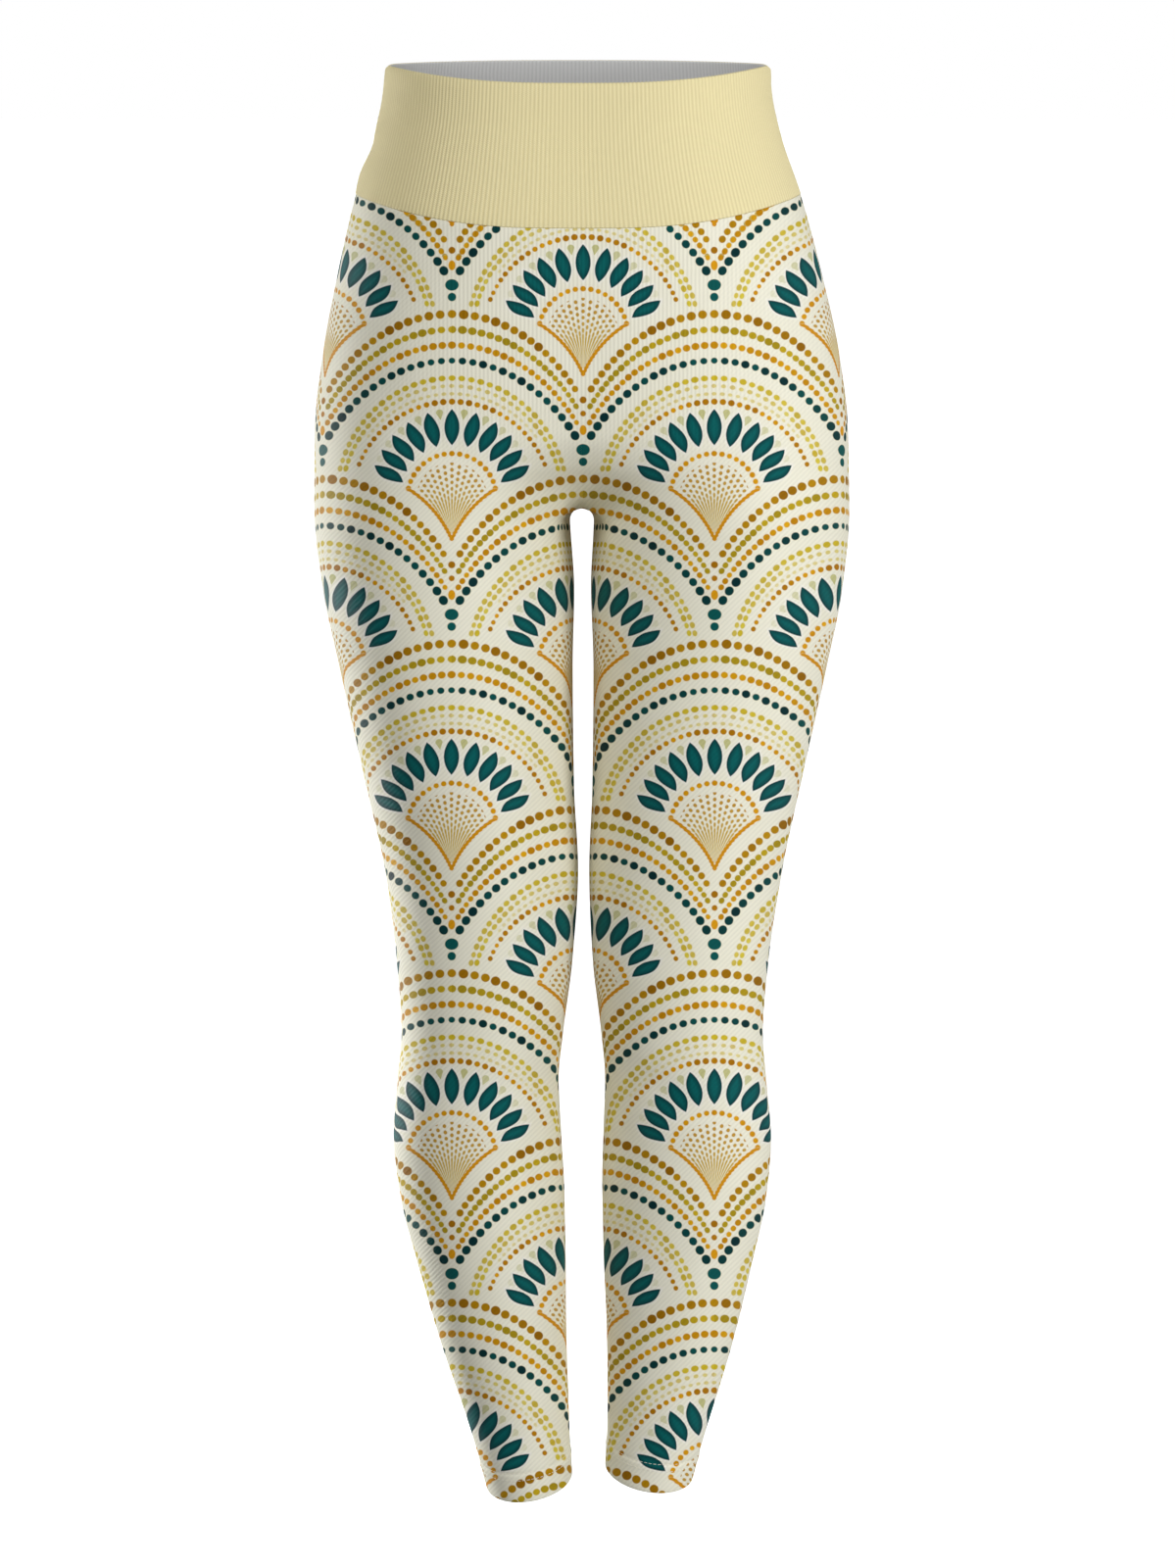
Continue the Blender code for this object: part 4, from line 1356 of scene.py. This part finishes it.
def stitch_tree():
    """A geometry tree that sews evenly spaced stitches along paths."""
    numbers = ("Spacing", "Stitch Length", "Thread", "Slant", "Alternate")
    inputs = {"Geometry": "Geometry", **dict.fromkeys(numbers, "Float"), "Material": "Material"}
    tree, add, given = new_tree("Stitching", "GeometryNodeTree", inputs, "Geometry", "Geometry")
    path = add("GeometryNodeMeshToCurve", given["Geometry"])
    even = add("GeometryNodeResampleCurve", path, None, given["Spacing"], mode="LENGTH")
    outward = add("ATTRIBUTE", "outward", data_type="FLOAT_VECTOR")
    facing = add("FunctionNodeAxesToRotation", outward, add("GeometryNodeInputTangent"),
                 primary_axis="Z", secondary_axis="X")
    odd = add("FLOORED_MODULO", add("GeometryNodeInputIndex"), 2.0)
    twice = add("MULTIPLY", given["Alternate"], -2.0)
    turn = add("MULTIPLY", add("MULTIPLY_ADD", odd, twice, 1.0), given["Slant"])
    slanted = add("FunctionNodeAxisAngleToRotation", (0.0, 0.0, 1.0), turn)
    rotation = add("FunctionNodeRotateRotation", facing, slanted, rotation_space="LOCAL")
    ball = add("GeometryNodeMeshUVSphere", 6, 4, 0.5)
    size = add("JOIN", given["Stitch Length"], given["Thread"], given["Thread"])
    stitch = add("GeometryNodeTransform", ball, None, None, size)
    sewn = add("GeometryNodeInstanceOnPoints", even, None, stitch, None, None, rotation)
    smooth = add("GeometryNodeSetShadeSmooth", add("GeometryNodeRealizeInstances", sewn))
    add("NodeGroupOutput", add("GeometryNodeSetMaterial", smooth, None, given["Material"]))
    return tree


def sew(name, paths, tree, values):
    """Sews one kind of stitch along paths that each carry the way out of the cloth."""
    edges = []
    first = 0
    for path, _ in paths:
        edges.extend((first + k, first + k + 1) for k in range(len(path) - 1))
        first += len(path)
    mesh = bpy.data.meshes.new(name)
    mesh.from_pydata(np.concatenate([path for path, _ in paths]).tolist(), edges, [])
    store(mesh, "outward", np.concatenate([ways for _, ways in paths]), "FLOAT_VECTOR", "vector")
    piece = link(name, mesh)
    keep_result(piece, tree, values)
    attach(piece, "root")


def hem_paths(above_hem, depth):
    """Paths round both hems, that high above the bottom edge and that deep under the face."""
    around = np.linspace(0.0, 1.9995, 161)
    return [placed_on(leg, around, np.full(around.shape, HEM_DOWN[leg] - above_hem),
                      np.full(around.shape, depth)) for leg in LEGS]


def seam_paths(column_number, settings):
    """Paths along the free face of every seam allowance, at one of its four columns."""
    depth = settings.leg_wall + ALLOWANCE_GAP * MM + settings.allowance_wall + 0.5 * THREAD * MM
    return [placed_on(leg, around[:, column_number], down[:, column_number],
                      np.full(len(around), depth))
            for leg in LEGS for around, down in allowances(leg)]


# ---------------------------------------------------------------- add-on

Length = partial(FloatProperty, unit="LENGTH", precision=5)
Power = partial(FloatProperty, unit="POWER")


class LeggingsCloth(bpy.types.PropertyGroup):
    """Cloth, ribs and hems of the leggings"""

    leg_wall: Length(name="Leg cloth", description="Thickness of the printed jersey",
                     default=1.2 * MM)
    hem_layer: Length(name="Hem layer", description="Thickness that the turned-up hem adds",
                      default=1.0 * MM)
    allowance_wall: Length(name="Seam allowance", default=1.3 * MM,
                           description="Thickness of the two edges overlocked inside a seam")
    band_wall: Length(name="Band cloth", description="Thickness of the doubled waistband",
                      default=1.8 * MM)
    ribs: IntProperty(name="Ribs", description="Ribs round the waistband", default=266, min=40)
    rib_height: Length(name="Rib height", description="How far a rib stands up",
                       default=0.32 * MM)
    rib_pitch: Length(name="Rib pitch", description="Spacing of the ribs at the waist edge",
                      default=2.665 * MM)
    # The crest colour is the yarn's own; the furrow colour is the same yarn darkened as painted shade
    # between the ribs
    crest: StringProperty(name="Rib crest", description="Colour of a rib's crest, sRGB hex",
                          default="F4E8B6")
    furrow: StringProperty(name="Rib furrow", description="Colour between the ribs, sRGB hex",
                           default="E8DAA6")


class LeggingsSewing(bpy.types.PropertyGroup):
    """Stitches of the hems and seams"""

    spacing: Length(name="Spacing", description="From one stitch to the next",
                    default=3.1 * MM)
    length: Length(name="Stitch", description="Length of one stitch on the face",
                   default=2.7 * MM)
    rows_apart: Length(name="Needle rows", description="Between the hem's two rows",
                       default=4.5 * MM)
    overlock: Length(name="Overlock spacing", description="Between overlock loops",
                     default=2.4 * MM)


class LeggingsStudio(bpy.types.PropertyGroup):
    """Camera, lights and floor"""

    distance: Length(name="Camera distance", description="From camera to the leggings",
                     default=VIEW_DISTANCE)
    elevation: FloatProperty(name="Camera elevation", description="Camera height above level",
                             default=math.radians(VIEW_ELEVATION), unit="ROTATION")
    key_power: Power(name="Key light", description="Large light in front at the right",
                     default=58.0)
    side_power: Power(name="Side light", description="Light beside the leggings at the right",
                      default=30.0)
    top_power: Power(name="Top light", description="Light high in front at the left",
                     default=54.0)
    rim_power: Power(name="Rim light", description="Light behind at the left", default=10.5)
    fill: FloatProperty(name="Fill", description="Brightness of the room round the leggings",
                        default=0.25, min=0.0)
    floor_drop: Length(name="Floor", description="Height of the floor below the hems",
                       default=0.06)


class LEGGINGS_OT_waistband(bpy.types.Operator):
    """Knit the ribbed waistband"""

    bl_idname = "leggings.waistband"
    bl_label = "Waistband"

    def execute(self, context):
        settings = context.scene.leggings_cloth
        face = rib_knit("cotton rib, knitted in the round", settings.crest, settings.furrow,
                        settings.rib_pitch)
        # Its second colour is painted shade in the furrows
        reverse = rib_knit("white rib reverse", "F8F8F7", "EBEBEA", settings.rib_pitch)
        band = make_waistband(settings, face, reverse)
        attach(band, "root")
        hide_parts("waistband")
        return {"FINISHED"}


class LEGGINGS_OT_legs(bpy.types.Operator):
    """Sew and print the two legs"""

    bl_idname = "leggings.legs"
    bl_label = "Legs"

    def execute(self, context):
        face = printed_knit()
        reverse = knit_reverse()
        for leg in LEGS:
            piece = make_leg(leg, context.scene.leggings_cloth, face, reverse)
            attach(piece, "root")
            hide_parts("leg_" + leg)
        return {"FINISHED"}


class LEGGINGS_OT_sewing(bpy.types.Operator):
    """Sew the cover-stitched hems and the overlocked seams inside"""

    bl_idname = "leggings.sewing"
    bl_label = "Sewing"

    def execute(self, context):
        sewing = context.scene.leggings_sewing
        cloth = context.scene.leggings_cloth
        tree = stitch_tree()
        straight = {"Spacing": sewing.spacing, "Stitch Length": sewing.length,
                    "Thread": THREAD * MM, "Slant": 0.0, "Alternate": 0.0,
                    "Material": sewing_thread()}
        looper = {**straight, "Alternate": 1.0, "Spacing": sewing.spacing / 2,
                  "Stitch Length": LOOPER_LENGTH * MM, "Slant": LOOPER_SLANT}
        overlock = {**looper, "Spacing": sewing.overlock,
                    "Stitch Length": OVERLOCK_LENGTH * MM, "Slant": OVERLOCK_SLANT}
        apart = sewing.rows_apart / MM
        proud = -0.3 * THREAD * MM
        rows = hem_paths(HEM_DEPTH, proud) + hem_paths(HEM_DEPTH - apart, proud)
        sew("hem_needle_rows", rows[::2] + rows[1::2], tree, straight)
        deep = cloth.leg_wall + cloth.hem_layer + 0.5 * THREAD * MM
        sew("hem_looper", hem_paths(HEM_DEPTH - apart / 2, deep), tree, looper)
        sew("seam_chain", seam_paths(CHAIN_COLUMN, cloth), tree, straight)
        sew("seam_overlock", seam_paths(OVERLOCK_COLUMN, cloth), tree, overlock)
        return {"FINISHED"}


class LEGGINGS_OT_studio(bpy.types.Operator):
    """Set the floor, the soft lights and the camera"""

    bl_idname = "leggings.studio"
    bl_label = "Studio"

    def execute(self, context):
        make_studio(context.scene.leggings_studio)
        return {"FINISHED"}


GROUPS = {
    "leggings_cloth": LeggingsCloth,
    "leggings_sewing": LeggingsSewing,
    "leggings_studio": LeggingsStudio,
}
OPERATORS = (LEGGINGS_OT_waistband, LEGGINGS_OT_legs, LEGGINGS_OT_sewing, LEGGINGS_OT_studio)


class LEGGINGS_PT_sidebar(bpy.types.Panel):
    """Leggings tools in the sidebar"""

    bl_label = "Leggings"
    bl_idname = "LEGGINGS_PT_sidebar"
    bl_space_type = "VIEW_3D"
    bl_region_type = "UI"
    bl_category = "Leggings"

    def draw(self, context):
        for name, group in GROUPS.items():
            box = self.layout.box()
            for setting in group.__annotations__:
                box.prop(getattr(context.scene, name), setting)
        for operator in OPERATORS:
            self.layout.operator(operator.bl_idname)


# ---------------------------------------------------------------- studio

# Square soft lights in metres, with their spread in degrees. Each has its power in the settings
LIGHTS = table(
    "name place aim size spread",
    ("key", (2.5, -2.5, -0.45), VIEW_TARGET, 1.3, 180),
    ("side", (3.4, 0.1, -0.6), VIEW_TARGET, 1.2, 180),
    ("top", (-0.8, -3.0, 2.2), VIEW_TARGET, 1.6, 180),
    ("rim", (-2.4, 2.1, -0.8), (0.0, 0.0, -0.8), 0.8, 48),
)
FLOOR_REACH = 40.0
SENSOR_WIDTH = 36.0
CLIP_END = 200.0


def make_studio(settings):
    """A pale floor, a plain backdrop, four soft lights and the camera."""
    low = min(CAD_BOX[0][2], CAD_BOX[1][2]) - settings.floor_drop
    corners = [(x * FLOOR_REACH, y * FLOOR_REACH, low)
               for x, y in ((-1, -1), (1, -1), (1, 1), (-1, 1))]
    mesh = bpy.data.meshes.new("floor")
    mesh.from_pydata(corners, [], [(0, 1, 2, 3)])
    _, finish = new_material("matt white paper")
    mesh.materials.append(finish(Base_Color="F4F4F4", Roughness=0.9, Emission_Color="FFFFFF",
                                 Emission_Strength=1.0))
    floor = link("floor", mesh)
    floor.visible_diffuse = False
    floor.visible_glossy = False

    scene = bpy.context.scene
    scene.world = bpy.data.worlds.new("studio")
    scene.world.use_nodes = True
    scene.world.node_tree.nodes.clear()
    add = partial(add_node, scene.world.node_tree)
    room = add("ShaderNodeBackground", "FFFFFF", settings.fill)
    backdrop = add("ShaderNodeBackground", "FFFFFF", 1.0)
    seen = add("ShaderNodeLightPath")
    add("ShaderNodeOutputWorld", add("ShaderNodeMixShader", seen, room, backdrop))

    for light in LIGHTS:
        data = bpy.data.lights.new(light.name, "AREA")
        data.shape = "SQUARE"
        data.size = light.size
        data.spread = math.radians(light.spread)
        data.energy = getattr(settings, light.name + "_power")
        lamp = link(light.name, data)
        lamp.location = light.place
        lamp.rotation_euler = look(light.place, light.aim)

    data = bpy.data.cameras.new("camera")
    data.sensor_width = SENSOR_WIDTH
    data.lens = SENSOR_WIDTH / 2 * settings.distance / VIEW_HALF_HEIGHT
    data.clip_end = CLIP_END
    camera = link("camera", data)
    tilt = settings.elevation
    back_off = np.array([0.0, -math.cos(tilt), math.sin(tilt)]) * settings.distance
    camera.location = np.array(VIEW_TARGET) + back_off
    camera.rotation_euler = (math.pi / 2 - tilt, 0.0, 0.0)
    scene.camera = camera
    scene.view_settings.view_transform = "Standard"


def look(place, aim):
    """Rotation that points a lamp's face at a place."""
    way = np.array(aim) - np.array(place)
    flat = math.hypot(way[0], way[1])
    return (math.pi / 2 + math.atan2(way[2], flat), 0.0, math.atan2(-way[0], way[1]))


CLASSES = (*GROUPS.values(), *OPERATORS, LEGGINGS_PT_sidebar)


def register():
    for cls in CLASSES:
        bpy.utils.register_class(cls)
    for name, group in GROUPS.items():
        setattr(bpy.types.Scene, name, PointerProperty(type=group))


def unregister():
    for name in GROUPS:
        delattr(bpy.types.Scene, name)
    for cls in reversed(CLASSES):
        bpy.utils.unregister_class(cls)


def main():
    register()
    bpy.ops.leggings.waistband()
    bpy.ops.leggings.legs()
    bpy.ops.leggings.sewing()
    bpy.ops.leggings.studio()


if __name__ == "__main__":
    main()
